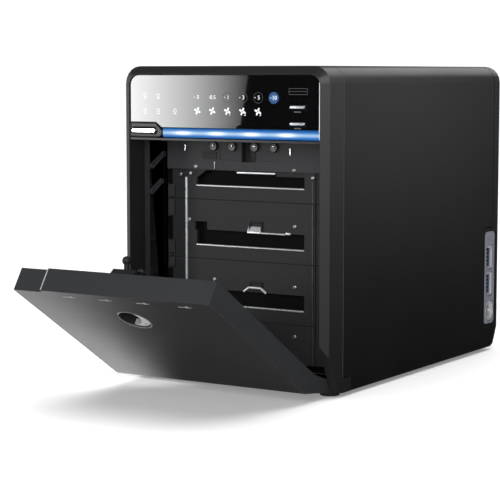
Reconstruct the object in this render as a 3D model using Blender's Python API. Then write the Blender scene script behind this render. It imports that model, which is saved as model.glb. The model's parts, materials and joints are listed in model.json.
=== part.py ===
# Four-bay desktop drive enclosure with a drop-down front door.
# Sizes are millimetres, +Z up; mesh_object turns them into metres. Y = 0 is the front plane of the bezel
# and Y grows towards the back. The chassis empty then moves the front forward, so that the world's origin
# is the bottom centre of the whole object with its door open.

import bpy
import bmesh
from math import cos, pi, radians, sin, tau
from mathutils import Matrix, Vector

MM = 0.001
GAP = 0.3                # air left between neighbouring pieces

# Overall body
BODY_HALF = 67.0
BODY_TOP = 180.0
BODY_DEPTH = 222.0
BODY_LOW = 2.5           # underside of the casing, above the feet
CORNER = 10.0            # radius of the two upper corners

# Front bezel
BEZEL_DEPTH = 18.0
BEZEL_IN = 62.4          # half width of the opening inside the bezel
BEZEL_TOP_IN = 175.4
CHAMFER_SIDE = 4.4
CHAMFER_DEEP = 3.2
TAPER_TOP = 30.0         # the bezel's front leans back below this height
TAPER_DEEP = 13.0
TAB_BACK = 27.0          # lower corner blocks reach this far back
TAB_TOP = 10.5
SHELF_LOW = 138.6        # shelf over the bay opening
SHELF_TOP = 139.8
SHELF_BACK = 28.0
WEB_FRONT = 14.0         # upright web behind the display board
WEB_BACK = 16.0
SILL_FRONT = 19.5
SILL_TOP = 6.9

# Front controls
WINDOW_HALF = 61.9
WINDOW_FRONT = 0.8
WINDOW_BACK = 2.8
WINDOW_TOP = 175.0
WINDOW_CORNER = 5.6
BAR_LOW = 140.3
BAR_TOP = 145.4
BAR_LEFT = -39.8
BAR_FRONT = 0.6
BAR_BACK = 4.6
POWER_LOW = 140.1        # the stepped surround of the power key
POWER_TOP = 148.3
POWER_RIGHT = -40.2
BUTTON_X = 48.2          # centre of the two small buttons
BUTTON_HALF = 4.6
MODE_Z = 157.9
FAN_KEY_Z = 148.9
BOARD_FRONT = 9.0
LAMP_START = -26.0       # four lamps behind the light bar
LAMP_PITCH = 22.5

# Door, drawn closed
HINGE_Y = 14.5
HINGE_Z = 5.6
DOOR_OPEN = radians(57.5)
DOOR_HALF = 62.0
DOOR_TOP = 138.0
DOOR_DEEP = 13.0
DOOR_SKIN = 2.3
BARREL = 2.8             # radius of the rounded lower edge round the hinge
CUP_Z = 110.0
CUP_RADIUS = 9.6
PIN_RADIUS = 1.5

# Bay walls, beside the mouth
WALL_IN = 58.5
WALL_OUT = 62.1
WALL_LOW = 7.2
WALL_TOP = 138.2
WALL_BACK = 28.4
WALL_POCKETS = (((16.5, 26.0), (106.0, 132.0)), ((19.0, 27.4), (76.0, 101.0)), ((16.5, 25.0), (48.0, 72.0)))

# Drives and their pulls
PITCH = 34.2
TOP_PULL_TOP = 138.1
PULL_HALF = 56.0
PULL_FRONT = 29.0
PULL_BACK = 31.6
SLOT_HALF = 36.0
SLOT_HEIGHT = 8.2
TOP_SLOT_LOW = 112.5
STEP_X = 43.0            # the pull's middle stands proud between these lines
DRIVE_HALF = 50.8
DRIVE_HEIGHT = 26.1
DRIVE_FRONT = 33.0
DRIVE_LENGTH = 147.0
ARM_IN = 51.3
ARM_OUT = 53.3
PEG_WAY = 4.6            # half width of the gap that the retainer peg swings through
PEG_WAY_LOW = 126.0
LAST_PULL_LOW = 13.5

# Drive cage
CAGE_FRONT = 31.9
CAGE_BACK = 186.0
CAGE_IN = 57.0
CAGE_OUT = 58.2
CAGE_LOW = 4.6
CAGE_TOP = 138.3

# Back
REAR_START = 211.9
REAR_TAPER_TOP = 19.5
REAR_TAPER_DEEP = 9.0
COVER_START = BEZEL_DEPTH + GAP
COVER_WALL = 1.5
FAN_X = 0.0
FAN_Z = 88.0
FAN_HALF = 40.0
FAN_FRONT = 196.4
FAN_BACK = 216.4
FAN_BORE = 38.0
FAN_SCREW_REACH = 35.75
STRUT_FRONT = 214.2      # struts that hold the fan's motor
GUARD_FRONT = 219.6
GUARD_BACK = 220.8
GUARD_RINGS = (18.0, 28.0, 38.5)
REAR_WALL = (217.0, 219.2)
VENT_HALF = 1.6
FOOT_RADIUS = 5.5
PORT_Y = 208.0
PORT_ZS = {"usb_port_upper": 59.8, "usb_port_lower": 42.8}
JACK_Z = 25.8


# ---------------------------------------------------------------- finishes

def finish(name, colour, roughness, metallic=0.0):
    """A plain Principled material, made once per name."""
    found = bpy.data.materials.get(name)
    if found:
        return found
    material = bpy.data.materials.new(name)
    material.use_nodes = True
    shader = material.node_tree.nodes["Principled BSDF"]
    shader.inputs["Base Color"].default_value = (*colour, 1.0)
    shader.inputs["Roughness"].default_value = roughness
    shader.inputs["Metallic"].default_value = metallic
    return material


def satin_black():
    return finish("satin_black_plastic", (0.018, 0.018, 0.020), 0.42)


def dark_plastic():
    return finish("dark_plastic", (0.012, 0.012, 0.013), 0.55)


def brushed_black():
    return finish("brushed_black", (0.030, 0.030, 0.032), 0.38, 0.3)


def gloss_black():
    return finish("gloss_black_window", (0.006, 0.006, 0.007), 0.06)


def light_blue():
    return finish("blue_light_guide", (0.10, 0.38, 0.80), 0.25)


def silver():
    return finish("silver_metal", (0.72, 0.72, 0.74), 0.28, 1.0)


def steel():
    return finish("sheet_steel", (0.55, 0.55, 0.57), 0.35, 1.0)


def drive_metal():
    return finish("drive_casting", (0.24, 0.24, 0.25), 0.45, 1.0)


def board_green():
    return finish("circuit_board", (0.02, 0.11, 0.05), 0.5)


def rubber():
    return finish("rubber", (0.02, 0.02, 0.02), 0.8)


def port_grey():
    return finish("port_plate_grey", (0.075, 0.082, 0.105), 0.4)


# ---------------------------------------------------------------- mesh tools

def mesh_object(name, bm, material):
    """Close a bmesh drawn in millimetres into a named object in metres."""
    bmesh.ops.remove_doubles(bm, verts=bm.verts, dist=0.0005)
    bmesh.ops.recalc_face_normals(bm, faces=bm.faces)
    bmesh.ops.scale(bm, vec=(MM, MM, MM), verts=bm.verts)
    mesh = bpy.data.meshes.new(name)
    bm.to_mesh(mesh)
    bm.free()
    mesh.materials.append(material)
    mesh.shade_smooth()
    mesh.set_sharp_from_angle(angle=radians(32))
    obj = bpy.data.objects.new(name, mesh)
    bpy.context.scene.collection.objects.link(obj)
    return obj


def place(axis, a, b, along):
    """A point from two outline coordinates and its place along the extrusion axis."""
    if axis == "X":
        return (along, a, b)
    if axis == "Y":
        return (a, along, b)
    return (a, b, along)


def loft(name, rings, axis, material):
    """Skin equal-length outlines, each given as (place along the axis, outline), and cap both ends."""
    bm = bmesh.new()
    loops = []
    for along, outline in rings:
        loops.append([bm.verts.new(place(axis, a, b, along)) for a, b in outline])
    count = len(loops[0])
    for near, far in zip(loops, loops[1:]):
        for i in range(count):
            j = (i + 1) % count
            bm.faces.new((near[i], near[j], far[j], far[i]))
    bm.faces.new(loops[0])
    bm.faces.new(loops[-1])
    return mesh_object(name, bm, material)


def prism(name, outline, axis, low, high, material):
    return loft(name, [(low, outline), (high, outline)], axis, material)


def block(name, x, y, z, material):
    """A box from its (low, high) pairs."""
    outline = [(x[0], z[0]), (x[1], z[0]), (x[1], z[1]), (x[0], z[1])]
    return prism(name, outline, "Y", y[0], y[1], material)


def circle(a, b, radius, sides):
    points = []
    for i in range(sides):
        angle = tau * i / sides
        points.append((a + radius * cos(angle), b + radius * sin(angle)))
    return points


def rod(name, axis, a, b, radius, low, high, sides, material):
    return prism(name, circle(a, b, radius, sides), axis, low, high, material)


def corner(a, b, radius, start, steps):
    """Points of a quarter turn round (a, b), counter-clockwise from the start angle in degrees."""
    points = []
    for i in range(steps + 1):
        angle = radians(start + 90.0 * i / steps)
        points.append((a + radius * cos(angle), b + radius * sin(angle)))
    return points


def rounded(left, right, low, high, radii, steps=5):
    """A rectangle with rounded corners; radii run right-top, left-top, left-low, right-low."""
    rt, lt, ll, rl = radii
    return (corner(right - rt, high - rt, rt, 0, steps) + corner(left + lt, high - lt, lt, 90, steps)
            + corner(left + ll, low + ll, ll, 180, steps) + corner(right - rl, low + rl, rl, 270, steps))


def combine(target, others, operation):
    """Apply exact Booleans and remove the shapes that were used up."""
    for other in others:
        modifier = target.modifiers.new(operation.lower(), "BOOLEAN")
        modifier.operation = operation
        modifier.solver = "EXACT"
        modifier.object = other
        bpy.context.view_layer.update()
        graph = bpy.context.evaluated_depsgraph_get()
        result = bpy.data.meshes.new_from_object(target.evaluated_get(graph))
        target.modifiers.clear()
        target.data = result
        bpy.data.objects.remove(other)
    return target


def carve(target, *cutters):
    return combine(target, cutters, "DIFFERENCE")


def fuse(target, *parts):
    return combine(target, parts, "UNION")


def both_sides(make):
    """Call make(-1) and make(1) and return both results."""
    return [make(side) for side in (-1, 1)]


def span(side, near, far):
    """The (low, high) pair on one side of the middle plane."""
    return (near, far) if side > 0 else (-far, -near)


# ---------------------------------------------------------------- front bezel and its controls

def body_outline(inset=0.0):
    half = BODY_HALF - inset
    top = BODY_TOP - inset
    upper = CORNER - inset
    return rounded(-half, half, BODY_LOW, top, (upper, upper, 2.0, 2.0))


def bezel_lean():
    """Wedge that trims the bezel's lower front edge, from TAPER_TOP back to its full depth at the desk."""
    slope = TAPER_DEEP / (TAPER_TOP - BODY_LOW)
    floor_y = slope * TAPER_TOP
    outline = [(-1.0, 0.0), (floor_y, 0.0), (-1.0, TAPER_TOP + 1.0 / slope)]
    return prism("lean", outline, "X", -BODY_HALF - 2, BODY_HALF + 2, dark_plastic())


def front_bezel():
    rings = [(0.0, body_outline(CHAMFER_SIDE)), (CHAMFER_DEEP, body_outline()), (BEZEL_DEPTH, body_outline())]
    bezel = loft("front_bezel", rings, "Y", satin_black())
    opening = prism("opening", rounded(-BEZEL_IN, BEZEL_IN, -1.0, BEZEL_TOP_IN, (6, 6, 0.5, 0.5)), "Y",
                    -1.0, BEZEL_DEPTH + 1, satin_black())
    carve(bezel, opening)
    join = BEZEL_IN + 1.0
    web = block("web", (-join, join), (WEB_FRONT, WEB_BACK), (SHELF_LOW, BEZEL_TOP_IN + 1), satin_black())
    shelf = block("shelf", (-join, join), (0.6, SHELF_BACK), (SHELF_LOW, SHELF_TOP), satin_black())
    sill = block("sill", (-join, join), (SILL_FRONT, TAB_BACK), (BODY_LOW, SILL_TOP), satin_black())
    tabs = both_sides(lambda side: block("tab", span(side, BEZEL_IN, BODY_HALF), (BEZEL_DEPTH - 1, TAB_BACK),
                                         (BODY_LOW, TAB_TOP), satin_black()))
    fuse(bezel, web, shelf, *tabs)
    fuse(bezel, sill)
    carve(bezel, bezel_lean())
    holes = both_sides(lambda side: rod("pin_hole", "X", HINGE_Y, HINGE_Z, PIN_RADIUS + GAP,
                                        *span(side, BEZEL_IN - 1, 65.6), 20, satin_black()))
    return carve(bezel, *holes)


def display_window():
    low = BAR_TOP + 0.4
    x, z = WINDOW_HALF - WINDOW_CORNER, WINDOW_TOP - WINDOW_CORNER
    outline = (corner(x, z, WINDOW_CORNER, 0, 5) + corner(-x, z, WINDOW_CORNER, 90, 5)
               + [(-WINDOW_HALF, POWER_TOP + 0.4), (-44.5, POWER_TOP + 0.4), (-40.5, low), (WINDOW_HALF, low)])
    window = prism("display_window", outline, "Y", WINDOW_FRONT, WINDOW_BACK, gloss_black())
    holes = []
    for z in (MODE_Z, FAN_KEY_Z):
        holes.append(block("key_hole", (BUTTON_X - BUTTON_HALF - GAP, BUTTON_X + BUTTON_HALF + GAP),
                           (0, 4), (z - 1.2, z + 1.2), gloss_black()))
    return carve(window, *holes)


def led_light_bar():
    outline = [(BAR_LEFT + 0.4, BAR_LOW), (WINDOW_HALF, BAR_LOW), (WINDOW_HALF, BAR_TOP), (BAR_LEFT, BAR_TOP),
               (BAR_LEFT, BAR_LOW + 1.2)]
    return prism("led_light_bar", outline, "Y", BAR_FRONT, BAR_BACK, light_blue())


def power_surround():
    outline = [(-WINDOW_HALF, POWER_LOW), (POWER_RIGHT - 1.8, POWER_LOW), (POWER_RIGHT, POWER_LOW + 1.5),
               (POWER_RIGHT, POWER_TOP - 3.7), (POWER_RIGHT - 4.4, POWER_TOP), (-WINDOW_HALF, POWER_TOP)]
    surround = prism("power_surround", outline, "Y", 0.2, 6.0, satin_black())
    slot = prism("slot", rounded(-60.9, -43.9, 142.4, 145.4, (1.4,) * 4, 3), "Y", -1, 7, satin_black())
    return carve(surround, slot)


def power_button():
    pill = rounded(-60.6, -44.2, 142.7, 145.1, (1.15,) * 4, 3)
    cap = prism("power_button", pill, "Y", -0.5, 6.8, silver())
    flange = block("flange", (-61.3, -43.5), (6.3, 7.5), (141.6, 146.2), silver())
    return fuse(cap, flange)


def small_key(name, z):
    """Bar-shaped key that shows through the window, with a flange that keeps it in."""
    key = block(name, (BUTTON_X - BUTTON_HALF, BUTTON_X + BUTTON_HALF), (0.3, 7.6), (z - 0.9, z + 0.9), silver())
    flange = block("flange", (BUTTON_X - 6, BUTTON_X + 6), (3.2, 4.4), (z - 2, z + 2), silver())
    return fuse(key, flange)


def display_board():
    board = block("display_board", (-60, 60), (BOARD_FRONT, BOARD_FRONT + 1.6), (140.8, 173.5), board_green())
    for i in range(4):
        x = LAMP_START + LAMP_PITCH * i
        fuse(board, block("lamp", (x - 1.8, x + 1.8), (5.4, BOARD_FRONT + 0.5), (141.4, 144.6), board_green()))
    return board


def bay_wall(side):
    name = "bay_wall_left" if side < 0 else "bay_wall_right"
    front = DOOR_DEEP + 0.8
    foot_y = SILL_FRONT - 0.2
    outline = [(front, WALL_TOP), (front, TAPER_TOP + 1), (foot_y, 13.0), (foot_y, WALL_LOW),
               (WALL_BACK, WALL_LOW), (WALL_BACK, WALL_TOP)]
    wall = prism(name, outline, "X", *span(side, WALL_IN, WALL_OUT), dark_plastic())
    cutters = [block("pocket", span(side, WALL_IN - 1, WALL_IN + 1.9), y, z, dark_plastic())
               for y, z in WALL_POCKETS]
    return carve(wall, *cutters)


# ---------------------------------------------------------------- door, drawn closed

def door_profile():
    """Side view (Y, Z) of the closed door, with its lower edge rounded about the hinge."""
    nose = []
    for i in range(7):
        angle = radians(200 + 160 * i / 6)
        nose.append((HINGE_Y + BARREL * cos(angle), HINGE_Z + BARREL * sin(angle)))
    outline = [(0.0, DOOR_TOP), (0.0, TAPER_TOP)] + nose
    outline += [(HINGE_Y + BARREL, 9.0), (DOOR_DEEP, TAPER_TOP - 4.0), (DOOR_DEEP, DOOR_TOP)]
    return outline


def door_panel():
    panel = prism("door_panel", door_profile(), "X", -DOOR_HALF, DOOR_HALF, brushed_black())
    # hollow behind the skin, open to the inside of the door
    hollow = [(DOOR_SKIN, DOOR_TOP - 2.2), (DOOR_SKIN, 34.0), (DOOR_DEEP + 2, 34.0), (DOOR_DEEP + 2, DOOR_TOP - 2.2)]
    carve(panel, prism("hollow", hollow, "X", -DOOR_HALF + 2.2, DOOR_HALF - 2.2, brushed_black()))
    mouth = rod("mouth", "Y", 0, CUP_Z, CUP_RADIUS + GAP, -1, DOOR_SKIN + 1, 40, brushed_black())
    notch = block("notch", (-DOOR_HALF - 1, -43.0), (-1, DOOR_DEEP + 1), (DOOR_TOP - 1.8, DOOR_TOP + 1),
                  brushed_black())
    carve(panel, mouth, notch)
    holes = both_sides(lambda side: rod("pin_seat", "X", HINGE_Y, HINGE_Z, PIN_RADIUS + GAP,
                                        *span(side, 55.5, DOOR_HALF + 1), 20, brushed_black()))
    return carve(panel, *holes)


def door_liner():
    edge = DOOR_HALF - 2.2 - GAP
    liner = block("door_liner", (-edge, edge), (DOOR_DEEP - 2.0, DOOR_DEEP), (34.3, DOOR_TOP - 2.5), dark_plastic())
    for x in (-38.0, 0.0, 38.0):
        rib = block("rib", (x - 1.0, x + 1.0), (DOOR_DEEP - 3.2, DOOR_DEEP - 1.0), (40.0, 96.0), dark_plastic())
        fuse(liner, rib)
    return liner


def finger_cup():
    """Round well behind the door's mouth: a turned dish, open to the front."""
    floor = DOOR_DEEP - 3.2
    cup = rod("finger_cup", "Y", 0, CUP_Z, CUP_RADIUS, 0.2, floor + 0.6, 40, dark_plastic())
    flange = rod("flange", "Y", 0, CUP_Z, CUP_RADIUS + 2.4, DOOR_SKIN + GAP, DOOR_SKIN + GAP + 1.0, 40,
                 dark_plastic())
    fuse(cup, flange)
    return carve(cup, rod("well", "Y", 0, CUP_Z, CUP_RADIUS - 1.0, -1, floor - 0.4, 40, dark_plastic()))


def finger_lip():
    """Bright half-round grip across the well's right side."""
    radius = CUP_RADIUS - 1.0 - GAP
    lip = rod("finger_lip", "Y", 0, CUP_Z, radius, 0.8, 4.0, 40, silver())
    carve(lip, rod("bite", "Y", -4.6, CUP_Z + 1.4, radius, 0, 5, 40, silver()))
    return lip


def door_pin(side):
    name = "hinge_pin_left" if side < 0 else "hinge_pin_right"
    return rod(name, "X", HINGE_Y, HINGE_Z, PIN_RADIUS, *span(side, 56.0, 65.2), 20, steel())


def retainer_block():
    """Raised block at the door's upper inner edge that carries the retainer peg."""
    outline = [(DOOR_DEEP + GAP, 122.0), (18.4, 124.0), (18.4, 132.0), (DOOR_DEEP + GAP, 134.0)]
    base = prism("retainer_block", outline, "X", -7.0, 7.5, dark_plastic())
    socket = peg_solid("socket", 1.9, -4.0, 3.0, dark_plastic())
    return carve(base, socket)


def peg_solid(name, radius, low, high, material):
    """A round bar along the peg's own line, which leans up from the door's inner face."""
    lean = pi / 2 - DOOR_OPEN
    frame = Matrix.Translation(Vector((0.0, 18.0, 129.2))) @ Matrix.Rotation(lean - pi / 2, 4, "X")
    bm = bmesh.new()
    bmesh.ops.create_cone(bm, cap_ends=True, segments=16, radius1=radius, radius2=radius, depth=high - low)
    bmesh.ops.translate(bm, vec=(0, 0, (high + low) / 2), verts=bm.verts)
    bmesh.ops.transform(bm, matrix=frame, verts=bm.verts)
    return mesh_object(name, bm, material)


def retainer_peg():
    peg = peg_solid("retainer_peg", 1.5, -3.4, 5.0, dark_plastic())
    head = peg_solid("head", 2.4, 4.0, 7.6, dark_plastic())
    return fuse(peg, head)


def retainer_clip():
    """Small spring arm with an eye beside the peg."""
    eye = rod("retainer_clip", "Y", 12.2, 133.2, 2.1, 16.2, 17.6, 16, steel())
    arm = prism("arm", [(8.0, 126.6), (9.0, 125.8), (12.8, 132.0), (11.4, 132.8)], "Y", 16.2, 17.6, steel())
    foot = block("foot", (7.8, 10.6), (DOOR_DEEP + GAP, 17.6), (124.4, 127.2), steel())
    fuse(eye, arm, foot)
    return carve(eye, rod("eye_hole", "Y", 12.2, 133.2, 1.1, 15, 19, 12, steel()))


# ---------------------------------------------------------------- drives

def bay_drop(bay):
    """How far bay 1 to 4 lies below the top one."""
    return PITCH * (bay - 1)


def drive_pull(bay):
    """Front plate with side arms that screw to the drive."""
    drop = bay_drop(bay)
    top = TOP_PULL_TOP - drop
    low = top - PITCH + 0.4 if bay < 4 else LAST_PULL_LOW
    plate = block(f"drive_pull_{bay}", (-PULL_HALF, PULL_HALF), (PULL_FRONT + 1.1, PULL_BACK), (low, top),
                  dark_plastic())
    face = block("face", (-STEP_X, STEP_X), (PULL_FRONT, PULL_BACK - 0.5), (low, top), dark_plastic())
    fuse(plate, face)
    drive_low = TOP_SLOT_LOW - 1.5 - drop
    arm_low = max(drive_low + 6.0, low + 0.5)
    arms = both_sides(lambda side: block("arm", span(side, ARM_IN, ARM_OUT), (PULL_BACK - 1, 78.0),
                                         (arm_low, arm_low + 9), dark_plastic()))
    fuse(plate, *arms)
    if bay < 4:
        slot_low = TOP_SLOT_LOW - drop
        slot = block("slot", (-SLOT_HALF, SLOT_HALF), (27, PULL_BACK + 1), (slot_low, slot_low + SLOT_HEIGHT),
                     dark_plastic())
        carve(plate, slot)
    if bay == 1:
        carve(plate, block("peg_way", (-PEG_WAY, PEG_WAY), (27, PULL_BACK + 1), (PEG_WAY_LOW, top + 1),
                           dark_plastic()))
    return plate


def top_pull_cap():
    """Wide front strip on the top pull, cut out round the retainer peg's path."""
    strip = block("top_pull_cap", (-55.6, 55.6), (27.8, 28.7), (121.2, 137.6), dark_plastic())
    return carve(strip, block("peg_way", (-PEG_WAY, PEG_WAY), (27, 30), (PEG_WAY_LOW, 139), dark_plastic()))


def hard_drive(bay):
    low = TOP_SLOT_LOW - 1.5 - bay_drop(bay)
    back = DRIVE_FRONT + DRIVE_LENGTH
    drive = block(f"hard_drive_{bay}", (-DRIVE_HALF, DRIVE_HALF), (DRIVE_FRONT, back), (low, low + DRIVE_HEIGHT),
                  drive_metal())
    recess = block("connector_recess", (3, 47), (back - 6, back + 1), (low - 1, low + 7), drive_metal())
    return carve(drive, recess)


def sata_socket(bay):
    low = TOP_SLOT_LOW - 1.5 - bay_drop(bay)
    back = DRIVE_FRONT + DRIVE_LENGTH
    return block(f"sata_socket_{bay}", (8, 42), (back - 4, back + 3.1), (low + 1.0, low + 6.0), dark_plastic())


def cage_wall(side):
    name = "cage_wall_left" if side < 0 else "cage_wall_right"
    wall = block(name, span(side, CAGE_IN, CAGE_OUT), (CAGE_FRONT, CAGE_BACK), (CAGE_LOW, CAGE_TOP), steel())
    for bay in range(1, 5):
        drive_low = TOP_SLOT_LOW - 1.5 - bay_drop(bay)
        arm_low = drive_low + 6.0 if bay < 4 else LAST_PULL_LOW + 0.9
        rail = block("rail", span(side, ARM_IN + 0.2, CAGE_IN + 0.5), (DRIVE_FRONT, CAGE_BACK),
                     (arm_low - 1.8, arm_low - GAP), steel())
        fuse(wall, rail)
    return wall


def cage_top():
    return block("cage_top", (-CAGE_OUT, CAGE_OUT), (WALL_BACK, CAGE_BACK), (SHELF_LOW, SHELF_TOP), steel())


# ---------------------------------------------------------------- electronics

def backplane():
    return block("backplane", (-49, 49), (CAGE_BACK - 2.6, CAGE_BACK - 1.0), (8, CAGE_TOP), board_green())


def main_board():
    return block("main_board", (-52, 52), (34, 176), (146.0, 147.6), board_green())


def controller_chip():
    return block("controller_chip", (-10, 10), (88, 108), (147.9, 149.9), dark_plastic())


def heat_sink():
    sink = block("heat_sink", (-18, 18), (80, 116), (150.2, 152.4), steel())
    for i in range(7):
        x = -16.5 + 5.5 * i
        fuse(sink, block("fin", (x - 0.7, x + 0.7), (80, 116), (152.0, 164.0), steel()))
    return sink


def io_board():
    return block("io_board", (50.2, 51.8), (190, 214), (14, 80), board_green())


def usb_port(name, z):
    shell = block(name, (52.1, 66.4), (PORT_Y - 4.3, PORT_Y + 4.3), (z - 7.2, z + 7.2), steel())
    carve(shell, block("mouth", (56, 68), (PORT_Y - 3.6, PORT_Y + 3.6), (z - 6.5, z + 6.5), steel()))
    tongue = block("tongue", (55, 65.0), (PORT_Y + 1.2, PORT_Y + 2.9), (z - 5.4, z + 5.4), steel())
    return fuse(shell, tongue)


def power_jack():
    jack = rod("power_jack", "X", PORT_Y + 1.0, JACK_Z, 6.2, 52.1, 66.6, 28, steel())
    carve(jack, rod("bore", "X", PORT_Y + 1.0, JACK_Z, 4.9, 57.0, 68.0, 24, steel()))
    post = rod("post", "X", PORT_Y + 4.2, JACK_Z, 0.9, 56, 64.5, 10, steel())
    return fuse(jack, post)


# ---------------------------------------------------------------- casing

def cover():
    """Wrap-round shell: left side, top and right side in one bent sheet, with narrow feet turned in."""
    steps = 6
    inner = CORNER - COVER_WALL
    skin = BODY_HALF - COVER_WALL
    arc_x = BODY_HALF - CORNER
    arc_z = BODY_TOP - CORNER
    lip = 60.0
    outline = ([(lip, BODY_LOW), (BODY_HALF, BODY_LOW)] + corner(arc_x, arc_z, CORNER, 0, steps)
               + corner(-arc_x, arc_z, CORNER, 90, steps)
               + [(-BODY_HALF, BODY_LOW), (-lip, BODY_LOW), (-lip, BODY_LOW + COVER_WALL),
                  (-skin, BODY_LOW + COVER_WALL)])
    outline += list(reversed(corner(-arc_x, arc_z, inner, 90, steps)))
    outline += list(reversed(corner(arc_x, arc_z, inner, 0, steps)))
    outline += [(skin, BODY_LOW + COVER_WALL), (lip, BODY_LOW + COVER_WALL)]
    shell = prism("cover", outline, "Y", COVER_START, REAR_START - GAP, satin_black())
    front_notch = block("front_notch", (-70, 70), (10, TAB_BACK + GAP), (0, TAB_TOP + GAP), satin_black())
    port_notch = block("port_notch", (60, 70), (199.0, 215), (15.5, 79.0), satin_black())
    return carve(shell, front_notch, port_notch)


def base_tray():
    tray = block("base_tray", (-59.6, 59.6), (TAB_BACK + GAP, 211.4), (BODY_LOW, BODY_LOW + 1.6), steel())
    for x in (-30.0, 0.0, 30.0):
        fuse(tray, block("rib", (x - 2.5, x + 2.5), (45, 195), (BODY_LOW + 1, BODY_LOW + 2.6), steel()))
    return tray


def foot(name, x, y):
    return rod(name, "Z", x, y, FOOT_RADIUS, 0.0, BODY_LOW - GAP, 24, rubber())


def rear_frame():
    edge = 2.6
    rings = [(REAR_START, body_outline()), (BODY_DEPTH - edge, body_outline()), (BODY_DEPTH, body_outline(edge))]
    frame = loft("rear_frame", rings, "Y", satin_black())
    carve(frame, prism("inside", rounded(-62, 62, 6.5, 175.5, (6, 6, 2, 2)), "Y", 200, 230, satin_black()))
    wall = block("wall", (-63, 63), REAR_WALL, (5.5, 176.5), satin_black())
    tab = block("tab", (62.0, BODY_HALF), (199.3, REAR_START + 1), (15.8, 78.7), satin_black())
    fuse(frame, wall, tab)
    rise = (REAR_TAPER_TOP - BODY_LOW) / REAR_TAPER_DEEP
    floor_y = BODY_DEPTH - REAR_TAPER_TOP / rise
    lean = [(floor_y, -0.001), (BODY_DEPTH + 1, -0.001), (BODY_DEPTH + 1, REAR_TAPER_TOP + rise)]
    carve(frame, prism("lean", lean, "X", -70, 70, satin_black()))
    carve(frame, rod("fan_hole", "Y", FAN_X, FAN_Z, 38.5, 215, 221, 48, satin_black()))
    carve(frame, *[rod("screw_hole", "Y", x, z, 2.1, 215, 221, 12, satin_black()) for x, z in fan_corners()])
    vents = [block("vent", (x - VENT_HALF, x + VENT_HALF), (215, 221), (139, 165), satin_black())
             for x in range(-42, 43, 12)]
    carve(frame, *vents)
    recess = prism("recess", rounded(200.2, 215.4, 17.4, 76.6, (3,) * 4, 3), "X", 65.6, 70, satin_black())
    carve(frame, recess)
    passages = [block("passage", (60, 68), (PORT_Y - 4.7, PORT_Y + 4.7), (z - 7.6, z + 7.6), satin_black())
                for z in PORT_ZS.values()]
    carve(frame, *passages)
    return carve(frame, rod("passage", "X", PORT_Y + 1.0, JACK_Z, 6.6, 60, 68, 28, satin_black()))


def port_plate():
    plate = prism("port_plate", rounded(200.5, 215.1, 17.7, 76.3, (2.7,) * 4, 3), "X", 65.9, 66.9, port_grey())
    for z in PORT_ZS.values():
        carve(plate, block("hole", (60, 68), (PORT_Y - 4.6, PORT_Y + 4.6), (z - 7.5, z + 7.5), port_grey()))
    return carve(plate, rod("hole", "X", PORT_Y + 1.0, JACK_Z, 6.5, 60, 68, 28, port_grey()))


# ---------------------------------------------------------------- fan

def fan_corners():
    reach = FAN_SCREW_REACH
    return [(FAN_X + sx * reach, FAN_Z + sz * reach) for sx in (-1, 1) for sz in (-1, 1)]


def fan_frame():
    outline = rounded(-FAN_HALF, FAN_HALF, FAN_Z - FAN_HALF, FAN_Z + FAN_HALF, (4,) * 4, 3)
    frame = prism("fan_frame", outline, "Y", FAN_FRONT, FAN_BACK, dark_plastic())
    carve(frame, rod("bore", "Y", FAN_X, FAN_Z, FAN_BORE, 190, 220, 48, dark_plastic()))
    struts = []
    for i in range(4):
        angle = tau * i / 4 + 0.4
        across = Vector((-sin(angle), cos(angle))) * 1.6
        near = Vector((cos(angle), sin(angle))) * 8.0
        far = Vector((cos(angle), sin(angle))) * (FAN_BORE + 0.6)
        middle = Vector((FAN_X, FAN_Z))
        outline = [middle + near - across, middle + far - across, middle + far + across, middle + near + across]
        struts.append(prism("strut", [tuple(p) for p in outline], "Y", STRUT_FRONT, FAN_BACK - 0.1, dark_plastic()))
    hub = rod("motor_seat", "Y", FAN_X, FAN_Z, 15.0, STRUT_FRONT, FAN_BACK - 0.1, 32, dark_plastic())
    fuse(hub, *struts)
    fuse(frame, hub)
    return carve(frame, *[rod("screw_hole", "Y", x, z, 2.1, 190, 220, 12, dark_plastic())
                          for x, z in fan_corners()])


def fan_rotor():
    hub = rod("fan_rotor", "Y", FAN_X, FAN_Z, 15.5, 197.4, 213.7, 32, dark_plastic())
    for i in range(7):
        bm = bmesh.new()
        bmesh.ops.create_cube(bm, size=1.0)
        bmesh.ops.scale(bm, vec=(23.0, 1.4, 15.0), verts=bm.verts)
        bmesh.ops.translate(bm, vec=(25.0, 0, 0), verts=bm.verts)
        for vert in bm.verts:
            if vert.co.x > 25:
                vert.co.z *= 1.25
        pitch_turn = Matrix.Rotation(radians(48), 4, "X")
        swing = Matrix.Rotation(tau * i / 7, 4, "Y")
        centre = Matrix.Translation(Vector((FAN_X, 205.5, FAN_Z)))
        bmesh.ops.transform(bm, matrix=centre @ swing @ pitch_turn, verts=bm.verts)
        fuse(hub, mesh_object("blade", bm, dark_plastic()))
    return hub


def fan_guard():
    low, high = GUARD_FRONT, GUARD_BACK
    guard = rod("fan_guard", "Y", FAN_X, FAN_Z, 8.0, low, high, 32, dark_plastic())
    for radius in GUARD_RINGS:
        ring = rod("ring", "Y", FAN_X, FAN_Z, radius + 0.9, low, high, 40, dark_plastic())
        carve(ring, rod("ring_hole", "Y", FAN_X, FAN_Z, radius - 0.9, low - 1, high + 1, 40, dark_plastic()))
        fuse(guard, ring)
    reach = GUARD_RINGS[-1]
    for turn in (0, 1):
        bar = [(-reach, -1.2), (reach, -1.2), (reach, 1.2), (-reach, 1.2)]
        angle = pi / 4 + turn * pi / 2
        outline = [(FAN_X + a * cos(angle) - b * sin(angle), FAN_Z + a * sin(angle) + b * cos(angle))
                   for a, b in bar]
        fuse(guard, prism("bar", outline, "Y", low, high, dark_plastic()))
    return guard


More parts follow.
